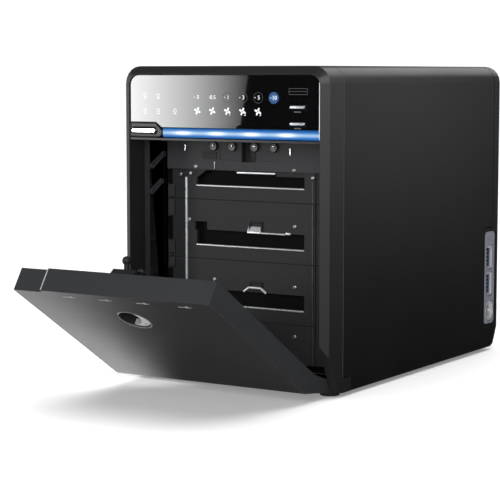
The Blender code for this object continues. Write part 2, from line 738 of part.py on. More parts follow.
def fan_screw(number, x, z):
    shank = rod(f"fan_screw_{number}", "Y", x, z, 1.7, 205.0, 219.6, 12, steel())
    return fuse(shank, rod("head", "Y", x, z, 2.9, 219.5, 221.0, 16, steel()))


# ---------------------------------------------------------------- assembly

def group(name, at, parent=None, turn=0.0):
    """Empty on a joint's axis; its pieces are drawn in body coordinates and hang on it."""
    empty = bpy.data.objects.new(name, None)
    empty.location = Vector(at) * MM
    empty.rotation_euler = (turn, 0.0, 0.0)
    empty.parent = parent
    bpy.context.scene.collection.objects.link(empty)
    return empty


def hang(pieces, empty, at=(0.0, 0.0, 0.0)):
    for piece in pieces:
        piece.parent = empty
        piece.location = -Vector(at) * MM


def build_fixed(chassis):
    pieces = [front_bezel(), display_window(), led_light_bar(), power_surround(), display_board()]
    pieces += both_sides(bay_wall) + both_sides(cage_wall) + [cage_top()]
    pieces += [backplane(), main_board(), controller_chip(), heat_sink(), io_board()]
    pieces += [sata_socket(bay) for bay in range(1, 5)]
    pieces += [usb_port(name, z) for name, z in PORT_ZS.items()] + [power_jack(), port_plate()]
    pieces += [cover(), base_tray(), rear_frame(), fan_frame(), fan_guard()]
    pieces += [foot("foot_front_left", -57, 21.5), foot("foot_front_right", 57, 21.5),
               foot("foot_rear_left", -54, 203), foot("foot_rear_right", 54, 203)]
    pieces += [fan_screw(i + 1, x, z) for i, (x, z) in enumerate(fan_corners())]
    hang(pieces, chassis)


def build_moving(chassis):
    hinge = (0.0, HINGE_Y, HINGE_Z)
    door = [door_panel(), door_liner(), finger_cup(), finger_lip(), retainer_block(), retainer_peg(),
            retainer_clip()] + both_sides(door_pin)
    hang(door, group("door_hinge", hinge, chassis, DOOR_OPEN), hinge)
    for make, name, at in ((power_button, "power_guide", (-52.4, 0.0, 143.9)),
                           (lambda: small_key("mode_button", MODE_Z), "mode_guide", (BUTTON_X, 0.0, MODE_Z)),
                           (lambda: small_key("fan_button", FAN_KEY_Z), "fan_key_guide", (BUTTON_X, 0.0, FAN_KEY_Z)),
                           (fan_rotor, "fan_axis", (FAN_X, 205.5, FAN_Z))):
        hang([make()], group(name, at, chassis), at)
    for bay in range(1, 5):
        at = (0.0, PULL_FRONT, TOP_SLOT_LOW - bay_drop(bay))
        pieces = [drive_pull(bay), hard_drive(bay)]
        if bay == 1:
            pieces.append(top_pull_cap())
        hang(pieces, group(f"drive_slide_{bay}", at, chassis), at)


def main():
    for obj in list(bpy.data.objects):
        bpy.data.objects.remove(obj)
    door_tip = HINGE_Y - HINGE_Y * cos(DOOR_OPEN) - (DOOR_TOP - HINGE_Z) * sin(DOOR_OPEN)
    chassis = group("chassis", (0.0, -(door_tip + BODY_DEPTH) / 2, 0.0))
    build_fixed(chassis)
    build_moving(chassis)


main()
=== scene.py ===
# Looks for a four-bay desktop drive enclosure, shown with its front door down.
# Places are in millimetres: x from the middle, y back from the bezel's front plane, z up from the desk.
# Door pieces are modelled with the door closed and then swung down with it.

import json
from math import cos, pi, radians, sin, tau

import bmesh
import bpy
from mathutils import Matrix, Vector

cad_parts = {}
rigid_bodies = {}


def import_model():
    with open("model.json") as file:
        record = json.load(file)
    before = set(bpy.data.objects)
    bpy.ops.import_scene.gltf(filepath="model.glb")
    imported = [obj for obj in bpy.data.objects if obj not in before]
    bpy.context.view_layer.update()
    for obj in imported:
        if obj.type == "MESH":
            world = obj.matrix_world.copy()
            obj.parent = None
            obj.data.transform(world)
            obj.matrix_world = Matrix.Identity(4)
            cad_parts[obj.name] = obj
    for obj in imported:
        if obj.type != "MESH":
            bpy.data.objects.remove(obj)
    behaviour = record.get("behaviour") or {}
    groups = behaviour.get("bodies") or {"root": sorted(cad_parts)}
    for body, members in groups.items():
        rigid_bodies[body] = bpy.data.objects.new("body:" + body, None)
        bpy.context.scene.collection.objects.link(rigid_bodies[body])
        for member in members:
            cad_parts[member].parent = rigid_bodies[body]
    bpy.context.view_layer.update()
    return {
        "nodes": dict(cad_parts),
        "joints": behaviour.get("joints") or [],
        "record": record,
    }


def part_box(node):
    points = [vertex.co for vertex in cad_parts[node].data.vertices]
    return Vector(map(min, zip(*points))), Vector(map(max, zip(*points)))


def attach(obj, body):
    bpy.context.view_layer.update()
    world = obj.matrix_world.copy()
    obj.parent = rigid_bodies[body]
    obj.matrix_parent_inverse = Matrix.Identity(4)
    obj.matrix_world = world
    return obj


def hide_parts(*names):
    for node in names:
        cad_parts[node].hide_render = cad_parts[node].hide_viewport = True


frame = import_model()
print("frame loaded with", len(frame["nodes"]), "nodes")

mm = 0.001
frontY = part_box("front_bezel")[0].y
bodyOf = {node: body for body, nodes in frame["record"]["behaviour"]["bodies"].items() for node in nodes}
doorJoint = next(joint for joint in frame["joints"] if joint["name"] == "door_hinge")
doorSwing = radians(doorJoint["range_deg"][1])
hingePlace = Vector(doorJoint["pos_m"])


def spot(x, y, z):
    return Vector((x * mm, frontY + y * mm, z * mm))


def swungSpot(x, y, z):    # where a place on the closed door lies once the door is down
    return hingePlace + Matrix.Rotation(doorSwing, 3, "X") @ (spot(x, y, z) - hingePlace)


# Camera, a little right of the front and level with the top
cameraSet = {"place": (521.5, -793.2, 176.4), "turn": 32.37, "tilt": 5.87, "focal": 124.3}

cameraData = bpy.data.cameras.new("deskCamera")
cameraData.lens = cameraSet["focal"]
cameraData.sensor_width = 36
cameraData.clip_start = 0.01
camera = bpy.data.objects.new("deskCamera", cameraData)
camera.location = spot(*cameraSet["place"])
camera.rotation_euler = (radians(90 - cameraSet["tilt"]), 0, radians(cameraSet["turn"]))
bpy.context.scene.collection.objects.link(camera)
bpy.context.scene.camera = camera


# Shader building

def operator(kind, swapped=False):    # a method that adds a Math node of this kind
    def method(self, other):
        first, second = (other, self) if swapped else (self, other)
        return self.paint.add("ShaderNodeMath", {"operation": kind}, {0: first, 1: second})
    return method


class Wire:
    # one node output; arithmetic on it adds Math nodes

    def __init__(self, paint, socket):
        self.paint = paint
        self.socket = socket

    __add__ = operator("ADD")
    __radd__ = operator("ADD", True)
    __sub__ = operator("SUBTRACT")
    __rsub__ = operator("SUBTRACT", True)
    __mul__ = operator("MULTIPLY")
    __rmul__ = operator("MULTIPLY", True)
    __truediv__ = operator("DIVIDE")
    __rtruediv__ = operator("DIVIDE", True)
    __pow__ = operator("POWER")


class Paint:
    # a node tree under construction; uniform values go straight onto the shader's sockets

    def __init__(self, name, uniform=None):
        self.material = bpy.data.materials.new(name)
        self.material.use_nodes = True
        self.tree = self.material.node_tree
        self.shader = self.tree.nodes["Principled BSDF"]
        for key, value in (uniform or {}).items():
            self.plug(self.shader.inputs[key], value)

    def plug(self, socket, value):
        if isinstance(value, Wire):
            self.tree.links.new(value.socket, socket)
        elif isinstance(value, tuple) and socket.type == "RGBA":
            socket.default_value = (*value, 1.0)
        else:
            socket.default_value = value

    def add(self, kind, settings=None, inputs=None, output=0):
        node = self.tree.nodes.new(kind)
        for key, value in (settings or {}).items():
            if key == "stops":
                self.setStops(node.color_ramp, value)
            else:
                setattr(node, key, value)
        for key, value in (inputs or {}).items():
            self.plug(node.inputs[key], value)
        return Wire(self, node.outputs[output])

    def setStops(self, ramp, stops):
        while len(ramp.elements) < len(stops):
            ramp.elements.new(0.5)
        for element, (place, colour) in zip(ramp.elements, stops):
            element.position = place
            element.color = (*colour, 1.0)

    def feed(self, name, value):
        self.plug(self.shader.inputs[name], value)

    def place(self, scale=(1, 1, 1), move=(0, 0, 0)):
        coords = self.add("ShaderNodeTexCoord", output="Object")
        return self.add("ShaderNodeMapping", {}, {"Vector": coords, "Scale": scale, "Location": move})

    def axis(self, name):
        coords = self.add("ShaderNodeTexCoord", output="Object")
        return self.add("ShaderNodeSeparateXYZ", {}, {0: coords}, output="XYZ".index(name))

    def noise(self, size, detail=2.0, scale=(1, 1, 1)):
        return self.add("ShaderNodeTexNoise", {}, {"Vector": self.place(scale), "Scale": 1 / (size * mm),
                                                   "Detail": detail}, output="Fac")

    def ease(self, value, low, high):
        return self.add("ShaderNodeMapRange", {"interpolation_type": "SMOOTHSTEP"},
                        {"Value": value, "From Min": low, "From Max": high})

    def mix(self, share, first, second):
        return self.add("ShaderNodeMix", {"data_type": "RGBA", "clamp_result": False},
                        {0: share, 6: first, 7: second}, output=2)

    def bump(self, height, depth, strength=1.0):
        self.feed("Normal", self.add("ShaderNodeBump", {}, {"Height": height, "Distance": depth * mm,
                                                            "Strength": strength}))


def mouldedPlastic(name, dark, pale, rough, grain=0.35, depth=0.02, shine=0.5):
    paint = Paint(name, {"Specular IOR Level": shine})
    fine = paint.noise(grain, 3)
    cloud = paint.noise(38, 3)
    paint.feed("Base Color", paint.mix(cloud, dark, pale))
    paint.feed("Roughness", rough + cloud * 0.08 + fine * 0.06)
    paint.bump(fine, depth)
    return paint.material


def brushedMetal(name, dark, pale, rough, metallic, streak=(0.05, 1, 1), size=0.25, depth=0.006):
    paint = Paint(name, {"Metallic": metallic})
    lines = paint.noise(size, 4, streak)
    broad = paint.noise(9, 2, streak)
    smudge = paint.noise(30, 3)
    paint.feed("Base Color", paint.mix(lines * 0.6 + broad * 0.4, dark, pale))
    paint.feed("Roughness", rough + lines * 0.12 + smudge * 0.08)
    paint.bump(lines, depth)
    return paint.material


def plainMetal(name, dark, pale, rough, metallic=1.0):
    paint = Paint(name, {"Metallic": metallic})
    wear = paint.noise(4, 4)
    fine = paint.noise(0.3, 2)
    paint.feed("Base Color", paint.mix(wear, dark, pale))
    paint.feed("Roughness", rough + wear * 0.1 + fine * 0.04)
    paint.bump(fine, 0.004)
    return paint.material


def castMetal():
    paint = Paint("driveCasting", {"Metallic": 0.9})
    grit = paint.noise(0.5, 4)
    stain = paint.noise(16, 3)
    paint.feed("Base Color", paint.mix(stain, (0.16, 0.165, 0.17), (0.26, 0.265, 0.27)))
    paint.feed("Roughness", 0.42 + grit * 0.18)
    paint.bump(grit, 0.05)
    return paint.material


def windowGlass():
    paint = Paint("windowGloss", {"Base Color": (0.0022, 0.0022, 0.0026), "Coat Weight": 0.4,
                                  "Coat Roughness": 0.01})
    haze = paint.noise(26, 3)
    paint.feed("Roughness", 0.012 + haze * 0.016)
    return paint.material


lampSet = {"start": -26.0, "pitch": 22.5, "spread": 6.5, "count": 4}


def lightGuide():    # a blue bar with a white core over each lamp
    paint = Paint("lightGuide", {"Base Color": (0.004, 0.015, 0.04), "Roughness": 0.25,
                                 "Emission Strength": 1.0, "Specular IOR Level": 0.08})
    low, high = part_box("led_light_bar")
    across = (paint.axis("Z") - low.z) / (high.z - low.z)
    ridge = 1 - (across * 2 - 1) ** 2
    core = ridge ** 7
    glow = 0
    for lamp in range(lampSet["count"]):
        middle = (lampSet["start"] + lamp * lampSet["pitch"]) * mm
        off = (paint.axis("X") - middle) / (lampSet["spread"] * mm)
        glow = 1 / (1 + off ** 2 + off ** 4 * 2) + glow
    blue = paint.mix(ridge, (0.008, 0.085, 0.36), (0.03, 0.20, 0.52))
    streak = paint.mix(core * 0.85, blue, (0.42, 0.62, 0.86))
    paint.feed("Emission Color", paint.mix(glow * core, streak, (1.2, 1.3, 1.4)))
    return paint.material


def boardGreen():
    paint = Paint("boardGreen", {"Coat Weight": 0.3, "Roughness": 0.42})
    bricks = {"Vector": paint.place(), "Scale": 1 / (2.2 * mm), "Mortar Size": 0.09, "Brick Width": 2.4,
              "Row Height": 0.5}
    tracks = paint.add("ShaderNodeTexBrick", {}, bricks, output="Fac")
    weave = paint.noise(3, 3)
    pattern = tracks * 0.7 + weave * 0.3
    paint.feed("Base Color", paint.mix(pattern, (0.006, 0.055, 0.022), (0.02, 0.15, 0.055)))
    paint.bump(tracks, 0.03)
    return paint.material


def rubberSkin():
    paint = Paint("rubberSkin")
    pores = paint.noise(0.8, 4)
    paint.feed("Base Color", paint.mix(pores, (0.012, 0.012, 0.012), (0.026, 0.026, 0.026)))
    paint.feed("Roughness", 0.72 + pores * 0.2)
    paint.bump(pores, 0.06)
    return paint.material


def litMark(name, colour, strength):    # a printed mark that glows a little; on the door's print the glow is painted light
    dim = tuple(0.75 * value for value in colour)
    base = tuple(0.3 * value for value in colour)
    paint = Paint(name, {"Base Color": base, "Roughness": 0.4, "Emission Strength": strength})
    mottle = paint.noise(1.2, 2)
    paint.feed("Emission Color", paint.mix(mottle, dim, colour))
    return paint.material


shellSatin = mouldedPlastic("shellSatin", (0.0045, 0.0045, 0.005), (0.008, 0.008, 0.0085), 0.28)
bezelSatin = mouldedPlastic("bezelSatin", (0.010, 0.010, 0.011), (0.017, 0.017, 0.018), 0.27, 0.3, 0.014)
innerMoulded = mouldedPlastic("innerMoulded", (0.013, 0.0134, 0.0145), (0.0185, 0.0192, 0.0208), 0.48, 0.4,
                              0.03, 0.35)
fanPlastic = mouldedPlastic("fanPlastic", (0.009, 0.009, 0.009), (0.016, 0.016, 0.016), 0.35, 0.6, 0.02)
# near-black painted shade: used on the drive fronts, the flange strips and the power socket's seat
darkHole = mouldedPlastic("darkHole", (0.0012, 0.0012, 0.0013), (0.0026, 0.0026, 0.0028), 0.6, shine=0.12)
wallHole = mouldedPlastic("wallHole", (0.012, 0.012, 0.0125), (0.016, 0.016, 0.0165), 0.6, shine=0.3)
portGrey = mouldedPlastic("portGrey", (0.16, 0.175, 0.205), (0.20, 0.218, 0.25), 0.32, 0.25, 0.012)
portPale = mouldedPlastic("portPale", (0.22, 0.23, 0.26), (0.30, 0.31, 0.34), 0.35, 0.25, 0.012)
blueTongue = mouldedPlastic("blueTongue", (0.015, 0.028, 0.075), (0.025, 0.045, 0.12), 0.4)
doorBrushed = brushedMetal("doorBrushed", (0.045, 0.045, 0.047), (0.10, 0.10, 0.104), 0.30, 0.75)
doorSatin = brushedMetal("doorSatin", (0.050, 0.052, 0.058), (0.078, 0.080, 0.088), 0.36, 0.6)
brightMetal = plainMetal("brightMetal", (0.72, 0.72, 0.74), (0.9, 0.9, 0.92), 0.12)
silverTrim = plainMetal("silverTrim", (0.70, 0.71, 0.73), (0.88, 0.89, 0.91), 0.22, 0.55)
softSteel = plainMetal("softSteel", (0.42, 0.42, 0.44), (0.56, 0.56, 0.58), 0.32)
darkSteel = plainMetal("darkSteel", (0.09, 0.09, 0.095), (0.15, 0.15, 0.155), 0.38)
goldContact = plainMetal("goldContact", (0.75, 0.52, 0.16), (0.9, 0.66, 0.26), 0.22)
driveCasting = castMetal()
tabGrey = mouldedPlastic("tabGrey", (0.026, 0.0268, 0.029), (0.036, 0.037, 0.040), 0.5, 0.4, 0.03, 0.35)
# a paler metal: a painted highlight on the door's bevels, and the finger well's rim
edgeSheen = plainMetal("edgeSheen", (0.22, 0.225, 0.235), (0.32, 0.325, 0.335), 0.3, 0.5)
seamSheen = plainMetal("seamSheen", (0.075, 0.077, 0.081), (0.12, 0.122, 0.127), 0.38, 0.5)
labelPaper = mouldedPlastic("labelPaper", (0.62, 0.62, 0.60), (0.70, 0.70, 0.68), 0.5, 0.3, 0.01)
labelInk = mouldedPlastic("labelInk", (0.02, 0.02, 0.02), (0.04, 0.04, 0.04), 0.5)
windowGloss = windowGlass()
lightBlue = lightGuide()
boardSkin = boardGreen()
footRubber = rubberSkin()
paleMark = litMark("paleMark", (0.75, 0.78, 0.82), 1.35)
# glows a little: painted light on the door's print
softMark = litMark("softMark", (0.42, 0.43, 0.45), 0.85)
dimMark = litMark("dimMark", (0.10, 0.105, 0.11), 0.4)
blueMark = litMark("blueMark", (0.02, 0.12, 0.38), 0.42)
whiteMark = litMark("whiteMark", (0.75, 0.88, 1.0), 1.3)
print("finishes made:", len(bpy.data.materials))


# Modelling helpers

axisTurns = {"X": (0, pi / 2, 0), "Y": (pi / 2, 0, 0), "Z": (0, 0, 0)}


def pick(*pieces):
    bpy.ops.object.select_all(action="DESELECT")
    for piece in pieces:
        piece.select_set(True)
    bpy.context.view_layer.objects.active = pieces[0]


def settle(piece):
    pick(piece)
    bpy.ops.object.transform_apply(location=True, rotation=True, scale=True)
    return piece


def block(name, low, high):
    bpy.ops.object.select_all(action="DESELECT")
    bpy.ops.mesh.primitive_cube_add(size=1, location=(spot(*low) + spot(*high)) / 2)
    piece = bpy.context.object
    piece.name = name
    piece.scale = spot(*high) - spot(*low)
    return settle(piece)


def drum(name, centre, radius, depth, axis="Y", sides=32):
    bpy.ops.object.select_all(action="DESELECT")
    bpy.ops.mesh.primitive_cylinder_add(vertices=sides, radius=radius * mm, depth=depth * mm,
                                        location=spot(*centre), rotation=axisTurns[axis])
    piece = bpy.context.object
    piece.name = name
    return settle(piece)


def hoop(name, centre, radius, wire, axis="Y", sides=48):
    bpy.ops.object.select_all(action="DESELECT")
    bpy.ops.mesh.primitive_torus_add(major_radius=radius * mm, minor_radius=wire * mm, major_segments=sides,
                                     minor_segments=10, location=spot(*centre), rotation=axisTurns[axis])
    piece = bpy.context.object
    piece.name = name
    return settle(piece)


def openMesh(piece, kind):
    pick(piece)
    bpy.ops.object.mode_set(mode="EDIT")
    bpy.ops.mesh.select_mode(type=kind)
    bpy.ops.mesh.select_all(action="DESELECT")
    return bmesh.from_edit_mesh(piece.data)


def closeMesh():
    bpy.ops.object.mode_set(mode="OBJECT")


def chooseFaces(piece, test):
    shape = openMesh(piece, "FACE")
    for face in shape.faces:
        face.select_set(bool(test(face.calc_center_median(), face.normal)))
    bmesh.update_edit_mesh(piece.data)


def insetFaces(piece, test, thickness, depth=0.0):
    chooseFaces(piece, test)
    bpy.ops.mesh.inset(thickness=thickness * mm, depth=depth * mm)
    closeMesh()
    return piece


def pushFaces(piece, test, x=0.0, y=0.0, z=0.0):
    chooseFaces(piece, test)
    bpy.ops.mesh.extrude_region_move(TRANSFORM_OT_translate={"value": (x * mm, y * mm, z * mm)})
    closeMesh()
    return piece


def facing(x=0, y=0, z=0):
    aim = Vector((x, y, z)).normalized()
    return lambda centre, normal: normal.dot(aim) > 0.95


def sliceOff(piece, place, outward):
    openMesh(piece, "FACE")
    bpy.ops.mesh.select_all(action="SELECT")
    bpy.ops.mesh.bisect(plane_co=place, plane_no=outward, use_fill=True, clear_outer=True)
    closeMesh()
    return piece


def applyModifier(piece, kind, **settings):
    pick(piece)
    modifier = piece.modifiers.new(kind.lower(), kind)
    for key, value in settings.items():
        setattr(modifier, key, value)
    bpy.ops.object.modifier_apply(modifier=modifier.name)
    return piece


def roundEdges(piece, width, steps=2, angle=32, clamp=True):
    return applyModifier(piece, "BEVEL", width=width * mm, segments=steps, limit_method="ANGLE",
                         angle_limit=radians(angle), use_clamp_overlap=clamp)


def combine(piece, others, operation):
    for other in others:
        applyModifier(piece, "BOOLEAN", operation=operation, solver="EXACT", object=other)
        bpy.data.objects.remove(other)
    return piece


def softBlock(name, low, high, width, steps=2):
    return roundEdges(block(name, low, high), width, steps)


def cutAway(piece, *cutters):
    return combine(piece, cutters, "DIFFERENCE")


def weld(piece, *others):
    return combine(piece, others, "UNION")


def gather(name, pieces):
    pick(*pieces)
    bpy.ops.object.join()
    bpy.context.object.name = name
    return bpy.context.object


def painted(piece, finish):
    piece.data.materials.clear()
    piece.data.materials.append(finish)
    return piece


def paintWhere(piece, finish, test):
    piece.data.materials.append(finish)
    for face in piece.data.polygons:
        if test(face.center, face.normal):
            face.material_index = len(piece.data.materials) - 1
    return piece


def turned(piece, centre, angle, axis):
    about = Matrix.Translation(centre)
    piece.matrix_world = about @ Matrix.Rotation(angle, 4, axis) @ about.inverted() @ piece.matrix_world
    return settle(piece)


def swungOpen(piece):
    return turned(piece, hingePlace, doorSwing, "X")


def finished(piece, body, angle=35, nodes=()):
    openMesh(piece, "VERT")
    bpy.ops.mesh.select_all(action="SELECT")
    bpy.ops.mesh.remove_doubles(threshold=0.000001)
    bpy.ops.mesh.normals_make_consistent(inside=False)
    closeMesh()
    pick(piece)
    bpy.ops.object.shade_smooth_by_angle(angle=radians(angle))
    applyModifier(piece, "WEIGHTED_NORMAL", weight=100, keep_sharp=True)
    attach(piece, body)
    if nodes:
        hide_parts(*nodes)
    return piece


def dressed(piece, finish, body, angle=35, nodes=()):
    return finished(painted(piece, finish), body, angle, nodes)


def copyOfNode(node, name):    # a merged copy of a frame part, its flat faces made whole
    piece = bpy.data.objects.new(name, frame["nodes"][node].data.copy())
    bpy.context.scene.collection.objects.link(piece)
    piece.data.materials.clear()
    openMesh(piece, "VERT")
    bpy.ops.mesh.customdata_custom_splitnormals_clear()
    bpy.ops.mesh.select_all(action="SELECT")
    bpy.ops.mesh.remove_doubles(threshold=0.000002)
    bpy.ops.mesh.dissolve_limited(angle_limit=radians(0.6))
    bpy.ops.mesh.normals_make_consistent(inside=False)
    closeMesh()
    return piece


def refined(node, name, edge, finish, steps=2, angle=35):
    piece = roundEdges(copyOfNode(node, name), edge, steps)
    return dressed(piece, finish, bodyOf[node], angle, (node,))


screwSet = {"height": 0.9, "rim": 0.35, "dome": 0.18, "slotAt": 0.75, "slotLong": 0.62, "slotThin": 0.14,
            "slotDeep": 0.5, "edge": 0.08}


def screwHead(name, x, y, z, radius, axis="Y", sign=-1):    # a low dome with a cross slot
    along = "XYZ".index(axis)
    out = Vector([sign if place == along else 0 for place in range(3)])
    head = drum(name, (x, y, z), radius, screwSet["height"], axis, 24)
    insetFaces(head, facing(*out), radius * screwSet["rim"], screwSet["dome"])
    tip = Vector((x, y, z)) + out * screwSet["slotAt"]
    wide, thin = radius * screwSet["slotLong"], radius * screwSet["slotThin"]
    slots = []
    for span in ([wide, thin], [thin, wide]):
        span.insert(along, screwSet["slotDeep"])
        low, high = [a - b for a, b in zip(tip, span)], [a + b for a, b in zip(tip, span)]
        slots.append(block("slot", low, high))
    return roundEdges(cutAway(head, *slots), screwSet["edge"], 1)


def refineAll(rows):
    for node, name, edge, finish, slot, steps in rows:
        refined(node, name, edge, finish, steps)


# Casing: bezel, wrap-round cover, rear frame and floor

refineAll((
    ("front_bezel", "bezelRing", 0.45, bezelSatin, "satin_black", 3),
    ("cover", "coverShell", 0.3, shellSatin, "satin_black", 2),
    ("rear_frame", "rearShell", 0.4, shellSatin, "satin_black", 2),
    ("base_tray", "floorTray", 0.3, darkSteel, "sheet_steel", 2),
))

coverShell = bpy.data.objects["coverShell"]
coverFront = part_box("cover")[0].y
bezelSet = {"cheek": 64.6, "cheekTop": 140.0, "seam": 0.35}
bezelRing = bpy.data.objects["bezelRing"]


def onSeam(centre, normal):    # the rounded edge of the cover that meets the bezel; its paler metal is a painted highlight
    return centre.y < coverFront + bezelSet["seam"] * mm and 0.2 < -normal.y < 0.97


def onCheek(centre, normal):    # the bezel's inner side faces, beside the bays; their paler inner finish is painted light that makes them read lighter
    inside = abs(centre.x) < bezelSet["cheek"] * mm and centre.z < bezelSet["cheekTop"] * mm
    return abs(normal.x) > 0.9 and inside


# the cover's front edge takes a paler metal: a painted highlight
paintWhere(coverShell, seamSheen, onSeam)
# the bezel's cheeks take the paler inner finish: painted light, lighter than the bezel
paintWhere(bezelRing, innerMoulded, onCheek)
print("casing done")


# Inside: walls, cage, drives, boards and fan

plainParts = {
    "cage_wall_left": ("cageWallLeft", 0.2, softSteel, "sheet_steel"),
    "cage_wall_right": ("cageWallRight", 0.2, softSteel, "sheet_steel"),
    "cage_top": ("cageTop", 0.2, softSteel, "sheet_steel"),
    "backplane": ("backBoard", 0.15, boardSkin, "circuit_board"),
    "main_board": ("mainBoard", 0.15, boardSkin, "circuit_board"),
    "io_board": ("socketBoard", 0.15, boardSkin, "circuit_board"),
    "display_board": ("displayBoard", 0.15, boardSkin, "circuit_board"),
    "controller_chip": ("controllerChip", 0.2, innerMoulded, "inner_black"),
    "heat_sink": ("heatSink", 0.15, softSteel, "heat_sink_metal"),
    "fan_frame": ("fanFrame", 0.3, fanPlastic, "inner_black"),
    "fan_rotor": ("fanRotor", 0.15, fanPlastic, "inner_black"),
    "usb_port_upper": ("usbUpper", 0.15, silverTrim, "port_metal"),
    "usb_port_lower": ("usbLower", 0.15, silverTrim, "port_metal"),
    "power_jack": ("powerJack", 0.25, silverTrim, "port_metal"),
    "port_plate": ("portPlate", 0.2, portGrey, "port_plate_grey"),
}
for node, (name, edge, finish, slot) in plainParts.items():
    refined(node, name, edge, finish)
for bay in range(1, 5):
    refined(f"sata_socket_{bay}", f"driveSocket{bay}", 0.2, innerMoulded)
    drive = refined(f"hard_drive_{bay}", f"driveBody{bay}", 0.6, driveCasting)
    # the drive's front faces are painted near-black: painted shade seen through the slots
    paintWhere(drive, darkHole, facing(y=-1))
for corner in ("front_left", "front_right", "rear_left", "rear_right"):
    refined(f"foot_{corner}", "foot" + corner.title().replace("_", ""), 0.5, footRubber)
for number in range(1, 5):
    refined(f"fan_screw_{number}", f"fanScrew{number}", 0.3, darkSteel)
refined("fan_guard", "fanGuard", 0.25, darkSteel)
print("inner parts done")


# Bay mouth: side walls with their windows, ledges and levers

wallSet = {"inner": 58.5, "windowDeep": 2.6,
           "windows": ((14.7, 112.6, 138.0), (14.7, 81.2, 111.4), (14.7, 64.2, 79.4), (20.0, 22.0, 60.0)),
           "windowBack": 28.1,
           "levers": (((15.0, 122.5), (27.0, 129.5)), ((15.0, 107.8), (24.5, 113.6)))}


def bayWall(side):
    name = "Left" if side < 0 else "Right"
    node = "bay_wall_" + name.lower()
    wall = copyOfNode(node, "bayWall" + name)
    face = side * wallSet["inner"]
    deep = side * (wallSet["inner"] + wallSet["windowDeep"])
    lowX, highX = sorted((deep, face - side))
    for near, low, high in wallSet["windows"]:
        cutAway(wall, block("wallWindow", (lowX, near, low), (highX, wallSet["windowBack"], high)))
    roundEdges(wall, 0.25, 2)
    dressed(wall, innerMoulded, "chassis", nodes=(node,))
    sunk = (abs(deep) - 0.3) * mm
    # the window floors sunk into the wall are painted a little darker: painted shade in the recesses
    paintWhere(wall, wallHole, lambda centre, normal: sunk < abs(centre.x) < sunk + 0.6 * mm)
    levers = [lever(side, *start, *end) for start, end in wallSet["levers"]]
    dressed(gather("wallLevers" + name, levers), tabGrey, "chassis")


def lever(side, y0, z0, y1, z1):    # a leaning arm on the wall with a pin at its upper end
    length = ((y1 - y0) ** 2 + (z1 - z0) ** 2) ** 0.5
    lean = Vector((y1 - y0, z1 - z0)).angle_signed(Vector((1, 0)))
    x = side * (wallSet["inner"] - 0.2)
    middle = (x, (y0 + y1) / 2, (z0 + z1) / 2)
    arm = block("leverArm", (x - 0.9, middle[1] - length / 2, middle[2] - 1.5),
                (x + 0.9, middle[1] + length / 2, middle[2] + 1.5))
    insetFaces(arm, facing(x=-side), 0.5, -0.35)
    roundEdges(arm, 0.3, 2)
    turned(arm, spot(*middle), lean, "X")
    pin = drum("leverPin", (x - side * 0.5, y1, z1), 1.7, 1.6, "X", 20)
    insetFaces(pin, facing(x=-side), 0.6, -0.3)
    return gather("lever", [arm, roundEdges(pin, 0.2, 2)])


for side in (-1, 1):
    bayWall(side)
print("bay mouth done")


# Drive pulls: slotted plates with silver slot lips and edge bars that carry painted highlights and painted
# shade, spring clips and small screws

pullSet = {"pitch": 34.2, "slotLow": 112.5, "slotHigh": 120.7, "slotHalf": 36.0, "face": 29.0, "barX": -43.0,
           "rightX": 41.6, "notch": (-37.4, -29.0), "notchHigh": 4.6, "barTop": 116.5, "footDrop": 0.25,
           "barRadius": 0.8}


def plateOf(bay):
    plate = copyOfNode(f"drive_pull_{bay}", f"drivePull{bay}")
    high = pullSet["slotHigh"] - pullSet["pitch"] * (bay - 1)
    if bay in (2, 3):
        left, right = pullSet["notch"]
        cutAway(plate, block("notch", (left, 28, high - 0.5), (right, 32.6, high + pullSet["notchHigh"])))
    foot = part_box(f"drive_pull_{bay}")[0].z + 0.1 * mm
    pushFaces(plate, lambda centre, normal: normal.z < -0.95 and centre.z < foot, z=-pullSet["footDrop"])
    roundEdges(plate, 0.14, 2)
    return dressed(plate, innerMoulded, f"drive_{bay}", nodes=(f"drive_pull_{bay}",))


def slotLip(bay):    # rolled edge under the finger slot, bright silver as a painted highlight
    low = pullSet["slotLow"] - pullSet["pitch"] * (bay - 1)
    half = pullSet["slotHalf"]
    lip = block(f"slotLip{bay}", (-half, 28.3, low - 1.0), (half, 29.5, low - 0.1))
    pushFaces(lip, facing(y=1), y=1.6, z=-0.3)
    roundEdges(lip, 0.35, 3)
    return dressed(lip, silverTrim, f"drive_{bay}")


def pullBars(bay):    # upright trim beside the slots: silver at the left as a painted highlight on the lit step, dark steel at the right as painted shade in the groove
    low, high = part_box(f"drive_pull_{bay}")
    lowZ, highZ = low.z / mm - pullSet["footDrop"], min(high.z / mm, pullSet["barTop"])
    face = pullSet["face"]
    middle = (pullSet["barX"], face - 0.2, (lowZ + highZ) / 2)
    highlightBar = drum(f"leftBar{bay}", middle, pullSet["barRadius"], highZ - lowZ, "Z", 24)
    dressed(roundEdges(highlightBar, 0.15, 1), silverTrim, f"drive_{bay}")
    x = pullSet["rightX"]
    dark = softBlock(f"rightBar{bay}", (x - 0.45, face - 0.6, lowZ), (x + 0.45, face + 0.3, highZ), 0.3, 3)
    dressed(dark, darkSteel, f"drive_{bay}")


